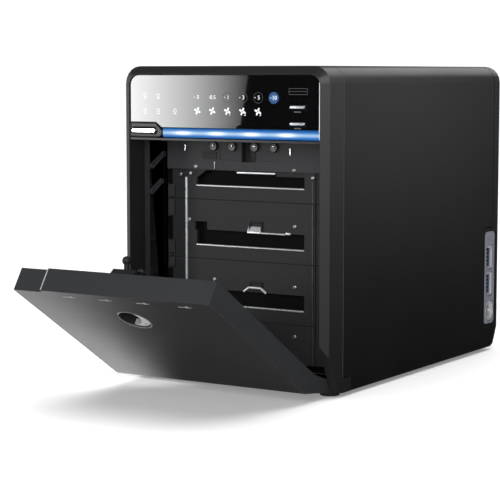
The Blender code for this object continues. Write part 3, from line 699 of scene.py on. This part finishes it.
def springClip(bay):    # little spring catch over the slot, with a rod that runs to the right
    top = pullSet["slotHigh"] - pullSet["pitch"] * (bay - 1)
    frameBox = block("clipFrame", (0.2, 27.9, top + 1.0), (8.8, 29.2, top + 6.0))
    insetFaces(frameBox, facing(y=-1), 0.8)
    middle = spot(4.5, 0, top + 3.5)

    def field(centre, normal):
        beside = max(abs(centre.x - middle.x), abs(centre.z - middle.z))
        return normal.y < -0.95 and beside < 0.5 * mm
    pushFaces(frameBox, field, y=0.9)
    roundEdges(frameBox, 0.15, 1)
    dressed(frameBox, innerMoulded, f"drive_{bay}")
    frameBox.name = f"clipFrame{bay}"
    parts = []
    if bay == 1:
        parts.append(softBlock("clipBlade", (-7.8, 27.7, top - 1.2), (17.6, 28.7, top - 0.1), 0.3))
    if bay == 2:
        tongue = block("clipTongue", (-0.8, 27.4, top - 0.6), (8.0, 28.9, top + 3.4))
        sliceOff(tongue, spot(0, 27.4, top + 0.9), Vector((0, -0.86, 0.5)))
        parts.append(roundEdges(tongue, 0.3, 3))
        parts.append(drum("clipRod", (15.5, 28.3, top - 0.2), 0.5, 17.0, "X", 16))
        parts.append(softBlock("clipEnd", (24.4, 27.8, top - 0.4), (27.6, 28.9, top + 0.9), 0.3))
    if bay == 3:
        for x, lean in ((-1.9, -0.62), (9.9, 0.62)):
            leg = softBlock("clipLeg", (x - 2.2, 27.7, top + 0.6), (x + 2.2, 28.9, top + 1.9), 0.4, 3)
            parts.append(turned(leg, spot(x, 28.3, top + 1.3), lean, "Y"))
        parts.append(softBlock("clipBridge", (-0.6, 27.6, top + 2.0), (8.6, 28.9, top + 3.4), 0.45, 3))
    clip = gather(f"springClip{bay}", parts)
    return dressed(clip, silverTrim, f"drive_{bay}")


flangeSet = {"tabs": ((1, 104.8, 111.8), (2, 94.0, 103.4), (2, 72.0, 79.0), (3, 64.0, 69.4)),
             "shadeStrips": ((1, 112.2, 120.8), (2, 80.2, 93.2), (3, 36.6, 63.0)), "left": -55.9, "back": 29.2}


def plateExtras():    # slanted corner and short cover of the top slot, the pads on the left flange, and near-black strips beside them as painted shade
    low, high = pullSet["slotLow"], pullSet["slotHigh"]
    corner = block("slotCorner", (-36.4, 29.0, low + 3.0), (-27.5, 29.7, high + 0.4))
    sliceOff(corner, spot(-36.2, 29, low + 3.6), Vector((0.56, 0, -0.83)))
    cover = block("slotCover", (17.7, 29.0, high - 2.3), (36.4, 29.7, high + 0.4))
    dressed(gather("slotShapes", [corner, cover]), innerMoulded, "drive_1")
    left, back = flangeSet["left"], flangeSet["back"]
    for bay, bottom, top in flangeSet["tabs"]:
        tab = softBlock(f"flangeTab{bay}", (left + 0.1, 28.5, bottom), (left + 4.5, back, top), 0.25)
        dressed(tab, tabGrey, f"drive_{bay}")
    # near-black strips beside the tabs are painted shade
    for bay, bottom, top in flangeSet["shadeStrips"]:
        shadeStrip = softBlock(f"flangeGap{bay}", (left, 28.8, bottom), (left + 2.7, back, top), 0.1, 1)
        dressed(shadeStrip, darkHole, f"drive_{bay}")


plateExtras()
pullScrews = {1: ((-46.3, 118.0), (-39.3, 118.8), (-35.8, 122.8), (29.9, 122.4), (42.1, 118.5)),
              2: ((-41.0, 92.0), (30.0, 91.0)), 3: ((-23.6, 58.2), (30.0, 57.0)),
              4: ((-30.0, 29.0), (30.0, 29.0))}
for bay in range(1, 5):
    plateOf(bay)
    pullBars(bay)
    if bay < 4:
        slotLip(bay)
        springClip(bay)
    y = 27.9 if bay == 1 else 28.9
    heads = [screwHead("pullScrew", x, y, z, 1.1) for x, z in pullScrews[bay]]
    dressed(gather(f"pullScrews{bay}", heads), softSteel, f"drive_{bay}")


# Header strip over the top slot: sunk field, pads, locating pins and four knurled studs

headerSet = {"field": ((-19.3, 16.8), (126.9, 132.2)), "pins": ((-42.7, 133.2), (27.9, 132.6)),
             "studXs": (-23.0, -10.4, 4.6, 17.2), "studZ": 134.6, "studRadius": 2.5,
             "pad": ((-31.0, -21.4), (127.4, 131.4))}


def headerStrip():
    strip = copyOfNode("top_pull_cap", "pullStrip")
    (left, right), (low, high) = headerSet["field"]
    cutAway(strip, block("field", (left, 27.4, low), (-4.7, 28.25, high)),
            block("field", (4.7, 27.4, low), (right, 28.25, high)))
    roundEdges(strip, 0.2, 2)
    dressed(strip, tabGrey, "drive_1", nodes=("top_pull_cap",))
    (left, right), (low, high) = headerSet["pad"]
    pad = block("headerPad", (left, 27.2, low), (right, 27.9, high))
    insetFaces(pad, facing(y=-1), 0.7, -0.2)
    dressed(roundEdges(pad, 0.2, 2), innerMoulded, "drive_1")
    backing = block("notchBacking", (-5.2, 32.15, 125.6), (5.2, 32.8, 138.0))
    insetFaces(backing, facing(y=-1), 0.6, -0.12)
    dressed(roundEdges(backing, 0.15, 1), innerMoulded, "drive_1")
    rib = softBlock("headerRib", (-22.9, 27.1, 121.6), (-22.1, 27.9, 126.0), 0.25)
    dressed(rib, softSteel, "drive_1")
    pins = [softBlock("pin", (x - 0.5, 26.9, z - 2.1), (x + 0.5, 27.9, z + 2.1), 0.35, 3)
            for x, z in headerSet["pins"]]
    dressed(gather("headerPins", pins), brightMetal, "drive_1")


def knurledStud(x):
    radius = headerSet["studRadius"]
    stud = drum("stud", (x, 27.0, headerSet["studZ"]), radius, 1.8, "Y", 32)
    shape = openMesh(stud, "FACE")
    for count, face in enumerate(f for f in shape.faces if abs(f.normal.y) < 0.1):
        face.select_set(count % 2 == 0)
    bmesh.update_edit_mesh(stud.data)
    bpy.ops.mesh.extrude_region_shrink_fatten(TRANSFORM_OT_shrink_fatten={"value": 0.25 * mm})
    closeMesh()
    insetFaces(stud, facing(y=-1), radius * 0.3, -0.3)
    # a bright metal dot up and right of the stud's centre: a painted highlight
    dot = drum("studDot", (x + 0.5, 26.2, headerSet["studZ"] + 0.5), 0.7, 0.9, "Y", 12)
    return painted(stud, darkSteel), painted(roundEdges(dot, 0.2, 2), brightMetal)


headerStrip()
studs = []
for x in headerSet["studXs"]:
    studs.extend(knurledStud(x))
finished(gather("headerStuds", studs), "drive_1")
print("drive pulls done")


# Front controls: window with its symbols, light bar, power key and two small keys

refineAll((
    ("display_window", "displayWindow", 0.15, windowGloss, "window_gloss", 2),
    ("led_light_bar", "lightBar", 0.5, lightBlue, "light_guide", 3),
    ("power_button", "powerKey", 0.8, brightMetal, "silver", 3),
    ("mode_button", "modeKey", 0.35, brightMetal, "silver", 3),
    ("fan_button", "fanKey", 0.35, brightMetal, "silver", 3),
))

surroundSet = {"rim": 0.55, "sink": 0.5, "edge": 0.25}
surround = copyOfNode("power_surround", "powerSurround")
insetFaces(surround, facing(y=-1), surroundSet["rim"], -surroundSet["sink"])
roundEdges(surround, surroundSet["edge"], 2)
dressed(surround, bezelSatin, "chassis", nodes=("power_surround",))

symbolSet = {"y": 0.8, "proud": 0.05, "left": -16.3, "step": 9.93, "numberZ": 162.8, "fanZ": 155.3,
             "numberSize": 3.1, "ring": 2.9, "ringWire": 0.11, "blade": 0.72, "reach": 1.25, "fanStep": 9.87,
             "numbers": ("0", "0.5", "1", "3", "5", "10"), "fans": 5,
             "lampRings": ((-51.8, 163.6), (-42.8, 163.6), (-51.8, 155.2), (-42.8, 155.2), (-31.4, 155.2)),
             "frame": (42.9, 54.3), "frameRows": (164.7, 166.3, 167.9), "keyLines": (155.4, 146.6)}


def printed(word, x, z, size, finish):    # a small number on the window
    bpy.ops.object.select_all(action="DESELECT")
    bpy.ops.object.text_add()
    text = bpy.context.object
    text.data.body = word
    text.data.size = size * mm
    text.data.align_x = "CENTER"
    text.data.align_y = "CENTER"
    text.data.extrude = symbolSet["proud"] * mm
    text.data.resolution_u = 4
    bpy.ops.object.convert(target="MESH")
    text = bpy.context.object
    text.rotation_euler = (pi / 2, 0, 0)
    text.location = spot(x, symbolSet["y"], z)
    return painted(settle(text), finish)


def dash(x, z, width, height, finish):
    half = symbolSet["proud"]
    piece = block("dash", (x - width / 2, symbolSet["y"] - half, z - height / 2),
                  (x + width / 2, symbolSet["y"] + half, z + height / 2))
    return painted(roundEdges(piece, min(width, height) * 0.3, 2), finish)


def ringMark(x, z, radius, wire, finish):
    piece = hoop("ringMark", (x, symbolSet["y"], z), radius, wire, sides=28)
    return painted(piece, finish)


def fanMark(x, z, finish):
    parts = []
    for turn in range(4):
        blade = drum("blade", (x, symbolSet["y"], z + symbolSet["reach"]), symbolSet["blade"],
                     2 * symbolSet["proud"], sides=12)
        openMesh(blade, "VERT")
        bpy.ops.mesh.select_all(action="SELECT")
        bpy.ops.transform.resize(value=(0.8, 1, 1.35))
        closeMesh()
        parts.append(turned(blade, spot(x, symbolSet["y"], z), turn * pi / 2 + 0.4, "Y"))
    return painted(gather("fanMark", parts), finish)


def windowSymbols():
    marks = []
    left, numberZ, fanZ = symbolSet["left"], symbolSet["numberZ"], symbolSet["fanZ"]
    for place, word in enumerate(symbolSet["numbers"]):
        x = left + place * symbolSet["step"]
        lit = word == "10"
        ink = whiteMark if lit else paleMark
        marks.append(printed(word, x + 0.4, numberZ, symbolSet["numberSize"], ink))
        marks.append(dash(x - 1.9, numberZ, 0.5, 0.5, ink))
        if place > 1:
            wire = 0.3 if lit else symbolSet["ringWire"]
            marks.append(ringMark(x, numberZ, symbolSet["ring"], wire, blueMark if lit else dimMark))
    for place in range(symbolSet["fans"]):
        x = left + place * symbolSet["fanStep"]
        marks.append(fanMark(x, fanZ, whiteMark if place == 0 else paleMark))
        if place > 1:
            marks.append(printed(str(place - 1), x + 1.6, fanZ - 1.5, 2.6, paleMark))
    for x, z in symbolSet["lampRings"]:
        marks.append(ringMark(x, z, 0.95, 0.16, paleMark))
        marks.append(dash(x, z - 1.7, 2.0, 0.35, paleMark))
    start, end = symbolSet["frame"]
    for z in symbolSet["frameRows"]:
        marks.append(dash((start + end) / 2, z, 11.0, 0.25, dimMark))
    for x in symbolSet["frame"]:
        marks.append(dash(x, symbolSet["frameRows"][1], 0.25, 3.5, dimMark))
    for z in symbolSet["keyLines"]:
        marks.append(dash(48.2, z, 4.4, 0.7, dimMark))
    return finished(gather("windowSymbols", marks), "chassis")


windowSymbols()

# a thin silver strip at the window's right end: a painted highlight on the edge of the bezel opening
windowHighlightSet = {"x": 61.93, "thick": 0.42, "low": 140.6, "high": 171.0}
windowHighlight = softBlock("windowTrim", (windowHighlightSet["x"], 0.1, windowHighlightSet["low"]),
                 (windowHighlightSet["x"] + windowHighlightSet["thick"], 0.9, windowHighlightSet["high"]), 0.12)
dressed(windowHighlight, silverTrim, "chassis")

haloSet = {"x": 33.35, "z": 162.8, "radius": 2.5}
halo = drum("timerLamp", (haloSet["x"], 0.78, haloSet["z"]), haloSet["radius"], 0.05, sides=40)
insetFaces(halo, facing(y=-1), 0.4, -0.01)
dressed(halo, blueMark, "chassis")
print("front controls done")


# Door: panel, liner, finger well, retainer and hinge pins

doorOutward = Matrix.Rotation(doorSwing, 3, "X") @ Vector((0, -1, 0))
doorPanel = refined("door_panel", "doorPanel", 0.4, doorSatin, 3)
paintWhere(doorPanel, doorBrushed, lambda centre, normal: normal.dot(doorOutward) > 0.98)
# the bevels round the door's face take the paler metal: a painted highlight along its outer edges
paintWhere(doorPanel, edgeSheen, lambda centre, normal: 0.45 < normal.dot(doorOutward) < 0.97)
refineAll((
    ("door_liner", "doorLiner", 0.3, innerMoulded, "inner_black", 2),
    ("finger_cup", "fingerCup", 0.5, fanPlastic, "inner_black", 3),
    ("finger_lip", "fingerLip", 0.7, silverTrim, "silver", 4),
    ("retainer_block", "retainerBlock", 0.5, innerMoulded, "inner_black", 3),
    ("retainer_clip", "retainerClip", 0.25, innerMoulded, "fastener_steel", 2),
    ("hinge_pin_left", "hingePinLeft", 0.3, softSteel, "fastener_steel", 2),
    ("hinge_pin_right", "hingePinRight", 0.3, softSteel, "fastener_steel", 2),
))

# a thin silver strip in the notch of the door's top edge: a painted highlight
slitHighlightSet = {"x": -43.0, "low": 136.1, "high": 138.15}
slitHighlight = softBlock("doorSlit", (slitHighlightSet["x"] - 0.35, 0.4, slitHighlightSet["low"]),
                 (slitHighlightSet["x"] + 0.35, 12.6, slitHighlightSet["high"]), 0.15)
dressed(swungOpen(slitHighlight), silverTrim, "door")

doorSet = {"deep": 13, "symbolZ": 132.6, "symbolXs": (-27, -4, 19.5, 45),
           "wellZ": 110, "wellRadius": 9.6}


def doorMark(x):    # one small drive symbol: a dash, a ring and a short tail
    z = doorSet["symbolZ"]
    parts = [block("markDash", (x - 4.6, -0.05, z - 0.17), (x - 0.6, 0.05, z + 0.17)),
             hoop("markRing", (x + 0.8, 0, z + 0.4), 0.75, 0.14, sides=20),
             block("markTail", (x + 1.9, -0.05, z - 0.17), (x + 3.4, 0.05, z + 0.17))]
    return gather("doorMark", parts)


# the door's print glows a little: painted light that keeps it pale
marks = gather("doorMarks", [doorMark(x) for x in doorSet["symbolXs"]])
dressed(swungOpen(marks), softMark, "door")


def wellRing():    # bright lip that runs round the finger well
    ring = hoop("wellRing", (0, 0.35, doorSet["wellZ"]), doorSet["wellRadius"] - 0.35, 0.4, sides=56)
    return dressed(swungOpen(ring), edgeSheen, "door")


wellRing()


pegSet = {"radius": 1.45, "ball": 2.35, "ballAt": 6.0, "low": -3.0, "foot": (0, 18.0, 129.2)}


def retainerPeg():    # a stud that ends in a ball
    foot = swungSpot(*pegSet["foot"])
    bpy.ops.object.select_all(action="DESELECT")
    bpy.ops.mesh.primitive_uv_sphere_add(segments=28, ring_count=18, radius=pegSet["ball"] * mm,
                                         location=foot + Vector((0, 0, pegSet["ballAt"])) * mm)
    ball = settle(bpy.context.object)
    length = pegSet["ballAt"] - pegSet["low"]
    middle = foot + Vector((0, 0, (pegSet["ballAt"] + pegSet["low"]) / 2)) * mm
    bpy.ops.mesh.primitive_cylinder_add(vertices=28, radius=pegSet["radius"] * mm, depth=length * mm,
                                        location=middle)
    stem = settle(bpy.context.object)
    peg = weld(ball, stem)
    peg.name = "retainerPeg"
    roundEdges(peg, 0.2, 2, 50)
    return dressed(peg, innerMoulded, "door", 40, ("retainer_peg",))


retainerPeg()


linerSet = {"screwXs": (-50, 50), "screwZs": (42, 84, 124), "ribXs": (-30, -15, 0, 15, 30)}


def linerScrews():
    heads = [screwHead("linerScrew", x, doorSet["deep"] + 0.1, z, 2.2, "Y", 1)
             for x in linerSet["screwXs"] for z in linerSet["screwZs"]]
    screws = gather("linerScrews", heads)
    return dressed(swungOpen(screws), darkSteel, "door")


linerScrews()


def linerPanel():    # raised field and stiffening ribs on the door's inner face
    field = block("linerField", (-44, 12.6, 46), (44, 13.55, 104))
    insetFaces(field, facing(y=1), 3.0, -0.35)
    parts = [roundEdges(field, 0.3, 2)]
    for x in linerSet["ribXs"]:
        parts.append(softBlock("linerRib", (x - 0.6, 12.9, 50), (x + 0.6, 14.1, 100), 0.25))
    panel = gather("linerRibs", parts)
    return dressed(swungOpen(panel), innerMoulded, "door")


linerPanel()
print("door done")


# Sockets: plate badge, blue tongues with contacts, and the power socket's pins

portSet = {"y": 208.0, "usbZs": (59.8, 42.8), "jackZ": 25.8, "badge": ((202.6, 213.0), (68.9, 74.4))}


def socketDetails():
    (near, far), (low, high) = portSet["badge"]
    badge = block("portBadge", (66.5, near, low), (67.0, far, high))
    insetFaces(badge, facing(x=1), 0.5, -0.12)
    dressed(roundEdges(badge, 0.12, 2), portPale, "chassis")
    tongues, pins, springs = [], [], []
    y = portSet["y"]
    for z in portSet["usbZs"]:
        tongues.append(softBlock("usbTongue", (56.5, y + 1.1, z - 5.5), (65.3, y + 3.0, z + 5.5), 0.2))
        for place in range(4):
            pinZ = z - 3.6 + 2.4 * place
            pins.append(block("usbPin", (57.0, y + 0.9, pinZ - 0.5), (65.0, y + 1.15, pinZ + 0.5)))
        for off in (-3.0, 3.0):
            low, high = z + off - 0.8, z + off + 0.8
            springs.append(block("usbSpring", (60.0, y - 3.65, low), (66.0, y - 3.2, high)))
    dressed(gather("usbTongues", tongues), blueTongue, "chassis")
    dressed(gather("usbPins", pins), softSteel, "chassis")
    dressed(gather("usbSprings", springs), softSteel, "chassis")
    core = []
    for turn in range(3):
        angle = turn * tau / 3 + pi / 6
        core.append(drum("jackPin", (62.0, y + 1.0 + 2.6 * cos(angle), portSet["jackZ"] + 2.6 * sin(angle)),
                         0.55, 5.0, "X", 14))
    dressed(roundEdges(gather("jackPins", core), 0.12, 2), goldContact, "chassis")
    # the socket's seat is near-black: painted shade deep in the socket
    seat = drum("jackSeat", (59.2, y + 1.0, portSet["jackZ"]), 4.8, 1.6, "X", 32)
    insetFaces(seat, facing(x=1), 1.0, -0.4)
    dressed(seat, darkHole, "chassis")


socketDetails()
print("sockets done")


# Back: case screws and a blank rating label

backSet = {"wall": 219.2, "screws": ((-56, 168), (56, 168), (-56, 22), (56, 22)),
           "label": ((-52.0, -44.5), (60.0, 116.0)), "rows": 12, "rowPitch": 4.2}


def backDetails():
    wall = backSet["wall"]
    heads = [screwHead("caseScrew", x, wall + 0.45, z, 2.9, "Y", 1) for x, z in backSet["screws"]]
    dressed(gather("caseScrews", heads), darkSteel, "chassis")
    (left, right), (low, high) = backSet["label"]
    label = softBlock("rearLabel", (left, wall - 0.05, low), (right, wall + 0.14, high), 0.06, 1)
    dressed(label, labelPaper, "chassis")
    lines = []
    for row in range(backSet["rows"]):
        z = high - 5.0 - row * backSet["rowPitch"]
        end = right - 1.2 - 1.6 * (row % 3)
        lines.append(softBlock("labelLine", (left + 1.2, wall + 0.1, z - 0.5),
                               (end, wall + 0.18, z + 0.5), 0.03, 1))
    dressed(gather("labelLines", lines), labelInk, "chassis")


backDetails()
print("back done")


# Drives: labels, lid screws and the screws that hold the pulls

driveSet = {"top": 137.1, "armX": 53.3, "armYs": (50.0, 70.0), "armZ": 121.5, "lowestArmZ": 18.5,
            "lidXs": (-46, 46), "lidYs": (40, 100, 172), "rows": 7, "rowPitch": 11}


def driveDetails(bay):
    drop = pullSet["pitch"] * (bay - 1)
    top = driveSet["top"] - drop
    label = softBlock(f"driveLabel{bay}", (-38, 58, top - 0.1), (38, 150, top + 0.12), 0.05, 1)
    dressed(label, labelPaper, f"drive_{bay}")
    lines = []
    for row in range(driveSet["rows"]):
        y = 66 + row * driveSet["rowPitch"]
        lines.append(block("driveLine", (-32, y, top + 0.1), (18 - 9 * (row % 3), y + 3, top + 0.16)))
    dressed(gather(f"driveLines{bay}", lines), labelInk, f"drive_{bay}")
    heads = [screwHead("lidScrew", x, y, top - 0.1, 2.2, "Z", 1)
             for x in driveSet["lidXs"] for y in driveSet["lidYs"]]
    armX = driveSet["armX"] + 0.2
    armZ = driveSet["armZ"] - drop if bay < 4 else driveSet["lowestArmZ"]
    heads += [screwHead("armScrew", side * armX, y, armZ, 2.4, "X", side)
              for side in (-1, 1) for y in driveSet["armYs"]]
    dressed(gather(f"driveScrews{bay}", heads), softSteel, f"drive_{bay}")


for bay in range(1, 5):
    driveDetails(bay)
print("drives done")


# Electronics: capacitors, chips and plugs on the boards

def capacitor(x, y, z, radius, height):
    can = drum("capacitor", (x, y, z + height / 2), radius, height, "Z", 24)
    insetFaces(can, facing(z=1), radius * 0.25, -0.25)
    return roundEdges(can, 0.2, 2)


def chip(x, y, z, width, depth, height=1.2, legs=6):
    parts = [softBlock("chipBody", (x - width / 2, y - depth / 2, z + 0.1),
                       (x + width / 2, y + depth / 2, z + height), 0.15, 1)]
    for place in range(legs):
        legY = y - depth / 2 + (place + 0.5) * depth / legs
        for side in (-1, 1):
            foot = x + side * (width / 2 + 0.5)
            parts.append(block("chipLeg", (foot - 0.6, legY - 0.25, z), (foot + 0.6, legY + 0.25, z + 0.45)))
    return gather("chip", parts)


boardSet = {"top": 147.6, "cans": ((-42, 50), (-42, 62), (-30, 50), (38, 60), (38, 74), (-40, 160)),
            "chips": ((-34, 96, 12, 10), (32, 100, 9, 12), (8, 140, 14, 14), (-24, 134, 8, 8),
                      (34, 146, 8, 10)),
            "plugXs": (-36, -12, 12, 36)}


def boardDetails():
    z = boardSet["top"]
    cans = [capacitor(x, y, z, 3.2, 8.0 + 2.0 * (place % 2)) for place, (x, y) in enumerate(boardSet["cans"])]
    dressed(gather("boardCans", cans), softSteel, "chassis")
    chips = [chip(x, y, z, width, depth) for x, y, width, depth in boardSet["chips"]]
    dressed(gather("boardChips", chips), innerMoulded, "chassis")
    plugs = []
    for x in boardSet["plugXs"]:
        plug = block("boardPlug", (x - 6, 166, z), (x + 6, 173, z + 6))
        insetFaces(plug, facing(z=1), 1.0, -2.5)
        plugs.append(roundEdges(plug, 0.2, 1))
    dressed(gather("boardPlugs", plugs), labelPaper, "chassis")


boardDetails()


washerSet = {"x": 62.2, "y": 14.5, "z": 5.6, "radius": 2.7, "thick": 0.3}


def washers():    # thin rings between the door and the bezel's cheeks
    rings = []
    for side in (-1, 1):
        place = (side * washerSet["x"], washerSet["y"], washerSet["z"])
        ring = drum("washer", place, washerSet["radius"], washerSet["thick"], "X", 28)
        rings.append(roundEdges(ring, 0.08, 1))
    return dressed(gather("hingeWashers", rings), darkSteel, "chassis")


washers()
print("electronics done")


# Studio: pale floor, white surroundings, soft lights and reflector cards

def studioFloor():
    bpy.ops.object.select_all(action="DESELECT")
    bpy.ops.mesh.primitive_plane_add(size=30, location=(0, 0, 0))
    floor = bpy.context.object
    floor.name = "studioFloor"
    paint = Paint("floorPaper", {"Base Color": (0.84, 0.84, 0.84), "Emission Color": (1, 1, 1),
                                 "Emission Strength": 0.22})
    paint.feed("Roughness", 0.5 + paint.noise(300, 2) * 0.1)
    painted(floor, paint.material)
    floor.visible_glossy = False
    return floor


worldSet = {"seen": 1.1, "low": 0.03, "high": 0.36}


def studioWorld():    # white to the camera, and dimmer toward the ground in all other light
    world = bpy.data.worlds.new("studioWorld")
    world.use_nodes = True
    bpy.context.scene.world = world
    tree = world.node_tree
    tree.nodes.clear()
    kinds = {"path": "LightPath", "seen": "Background", "coords": "TexCoord", "split": "SeparateXYZ",
             "ramp": "MapRange", "lit": "Background", "choose": "MixShader", "out": "OutputWorld"}
    made = {name: tree.nodes.new("ShaderNode" + kind) for name, kind in kinds.items()}
    made["seen"].inputs["Strength"].default_value = worldSet["seen"]
    made["seen"].inputs["Color"].default_value = (1, 1, 1, 1)
    made["ramp"].interpolation_type = "SMOOTHSTEP"
    made["ramp"].inputs["To Min"].default_value = worldSet["low"]
    made["ramp"].inputs["To Max"].default_value = worldSet["high"]
    for start, output, end, socket in (
            ("coords", "Generated", "split", 0), ("split", 2, "ramp", "Value"),
            ("ramp", 0, "lit", "Strength"), ("path", "Is Camera Ray", "choose", 0), ("lit", 0, "choose", 1),
            ("seen", 0, "choose", 2), ("choose", 0, "out", "Surface")):
        tree.links.new(made[start].outputs[output], made[end].inputs[socket])


def softLight(name, place, aim, size, power):
    data = bpy.data.lights.new(name, "AREA")
    data.shape = "RECTANGLE"
    data.size, data.size_y = size
    data.energy = power
    light = bpy.data.objects.new(name, data)
    light.location = place
    light.rotation_euler = (Vector(aim) - Vector(place)).to_track_quat("-Z", "Y").to_euler()
    light.visible_camera = False
    bpy.context.scene.collection.objects.link(light)
    return light


sunSet = {"strength": 3.2, "spread": 75}


def floorLight(floor):    # a broad overhead sun that lights only the paper
    data = bpy.data.lights.new("paperSun", "SUN")
    data.energy = sunSet["strength"]
    data.angle = radians(sunSet["spread"])
    sun = bpy.data.objects.new("paperSun", data)
    bpy.context.scene.collection.objects.link(sun)
    onlyFloor = bpy.data.collections.new("onlyFloor")
    onlyFloor.objects.link(floor)
    sun.light_linking.receiver_collection = onlyFloor
    return sun


def reflectorCard(name, corners, strength, shade):    # seen only in reflections
    bpy.ops.object.select_all(action="DESELECT")
    bpy.ops.mesh.primitive_plane_add(size=1)
    card = bpy.context.object
    card.name = name
    for vertex, place in zip(card.data.vertices, corners):
        vertex.co = place
    paint = Paint(name, {"Base Color": (0, 0, 0), "Roughness": 1.0, "Specular IOR Level": 0.0,
                         "Emission Strength": strength})
    paint.feed("Emission Color", paint.mix(shade(paint), (0, 0, 0), (1, 1, 1)))
    painted(card, paint.material)
    card.visible_camera = False
    card.visible_diffuse = False
    card.visible_shadow = False
    card.visible_transmission = False
    return card


def uprightCard(name, card, shade):    # faces the front or back if it has one y, else a side
    heights = (card["low"], card["top"])
    if "y" in card:
        corners = [(x, card["y"], z) for z in heights for x in (card["left"], card["right"])]
    else:
        corners = [(card["x"], y, z) for z in heights for y in (card["near"], card["far"])]
    return reflectorCard(name, corners, card["strength"], shade)


bayFillSet = {"place": (0.12, -0.42, 0.2), "aim": (0.0, -0.03, 0.12), "size": (0.2, 0.12), "power": 0.35}


bayFillPieces = ("drivePull", "pullStrip", "header", "bayWall", "wallLevers", "notchBacking")


def bayFill():    # lights only what stands in the bay mouth
    light = softLight("bayFill", **bayFillSet)
    mouth = bpy.data.collections.new("bayMouth")
    for piece in bpy.context.scene.objects:
        if piece.name.startswith(bayFillPieces):
            mouth.objects.link(piece)
    light.light_linking.receiver_collection = mouth


windowCardSet = {"y": -1.1, "left": -1.1, "edge": -0.650, "top": 0.26, "low": 0.04, "lean": 0.17,
                 "fadeWidth": 0.195, "least": 0.062, "strength": 17.0}


def windowCard():    # gives the window its white sweep that stops on a slanting line
    y, left = windowCardSet["y"], windowCardSet["left"]
    low, top = windowCardSet["low"], windowCardSet["top"]
    lean = windowCardSet["lean"] * (top - low) / 2
    corners = ((left, y, low), (windowCardSet["edge"] - lean, y, low),
               (left, y, top), (windowCardSet["edge"] + lean, y, top))

    def shade(paint):
        edge = windowCardSet["edge"]
        return paint.add("ShaderNodeMapRange", {}, {"Value": paint.axis("X"), "From Min": edge,
                                                    "From Max": edge - windowCardSet["fadeWidth"],
                                                    "To Min": windowCardSet["least"], "To Max": 1.0})
    return reflectorCard("windowCard", corners, windowCardSet["strength"], shade)


trimCardSet = {"x": -0.9, "near": -0.25, "far": 0.6, "low": -0.35, "top": 0.5, "strength": 0.6,
               "fallTop": 0.1}


def trimCard():    # a pale line down the bezel's left chamfer
    return uprightCard("trimCard", trimCardSet,
                       lambda paint: paint.ease(paint.axis("Z"), trimCardSet["low"], trimCardSet["fallTop"]))


chamferCardSet = {"y": -1.45, "left": 0.95, "right": 1.5, "low": -0.35, "top": 0.5, "strength": 1.3,
                  "fallLow": -0.22, "fallHigh": 0.0}


def chamferCard():    # the bezel's right chamfer pales from the desk upward
    low, high = chamferCardSet["fallLow"], chamferCardSet["fallHigh"]
    return uprightCard("chamferCard", chamferCardSet, lambda paint: paint.ease(paint.axis("Z"), low, high))


backCardSet = {"y": 2.2, "left": -0.7, "right": 1.15, "low": 0.85, "top": 2.3, "strength": 1.5,
               "fade": 0.2}


def backCard():    # a pale line along the cover's upper right edge
    right = backCardSet["right"]
    return uprightCard("backCard", backCardSet,
                       lambda paint: paint.ease(paint.axis("X"), right, right - backCardSet["fade"]))


sideCardSet = {"x": 0.42, "near": 0.45, "far": 1.25, "low": -0.4, "top": 0.7, "strength": 1.15,
               "fallLow": -0.08, "fallHigh": 0.22, "backStart": 0.53,
               "backEnd": 0.98, "across": 1.0}


def sideCard():    # the long side is palest along its top and toward the front
    def shade(paint):
        rise = paint.ease(paint.axis("Z"), sideCardSet["fallLow"], sideCardSet["fallHigh"])
        back = paint.ease(paint.axis("Y"), sideCardSet["backStart"], sideCardSet["backEnd"])
        return rise * (1 - back * sideCardSet["across"])
    return uprightCard("sideCard", sideCardSet, shade)


doorCardSet = {"left": -200, "right": 90, "near": -120, "far": 10, "lift": 0.2, "strength": 1.8, "dim": 0.05,
               "fallStart": -104, "fallEnd": -66, "slant": 0.8, "pivotY": -62}


def doorCard():    # gives the door's face its sheen, strongest at the left
    left, right = doorCardSet["left"] * mm, doorCardSet["right"] * mm
    near, far = frontY + doorCardSet["near"] * mm, frontY + doorCardSet["far"] * mm
    lift = doorCardSet["lift"] * mm
    corners = ((left, near, lift), (right, near, lift), (left, far, lift), (right, far, lift))

    def shade(paint):
        pivot = spot(0, doorCardSet["pivotY"], 0).y
        across = paint.axis("X") - (paint.axis("Y") - pivot) * doorCardSet["slant"]
        fall = paint.ease(across, doorCardSet["fallStart"] * mm, doorCardSet["fallEnd"] * mm)
        return 1 - fall * (1 - doorCardSet["dim"])
    return reflectorCard("doorCard", corners, doorCardSet["strength"], shade)


boxSets = {
    "rightBackBox": {"place": (1.5, 2.4, 1.6), "aim": (0.05, 0.1, 0.1), "size": (2.0, 1.1), "power": 5},
    "frontBox": {"place": (0.6, -1.4, 0.6), "aim": (0, 0, 0.1), "size": (0.9, 0.9), "power": 15},
}

paper = studioFloor()
studioWorld()
floorLight(paper)
for name, box in boxSets.items():
    softLight(name, **box)
bayFill()
windowCard()
trimCard()
chamferCard()
sideCard()
backCard()
doorCard()
bpy.context.scene.view_settings.view_transform = "Standard"
print("studio done")
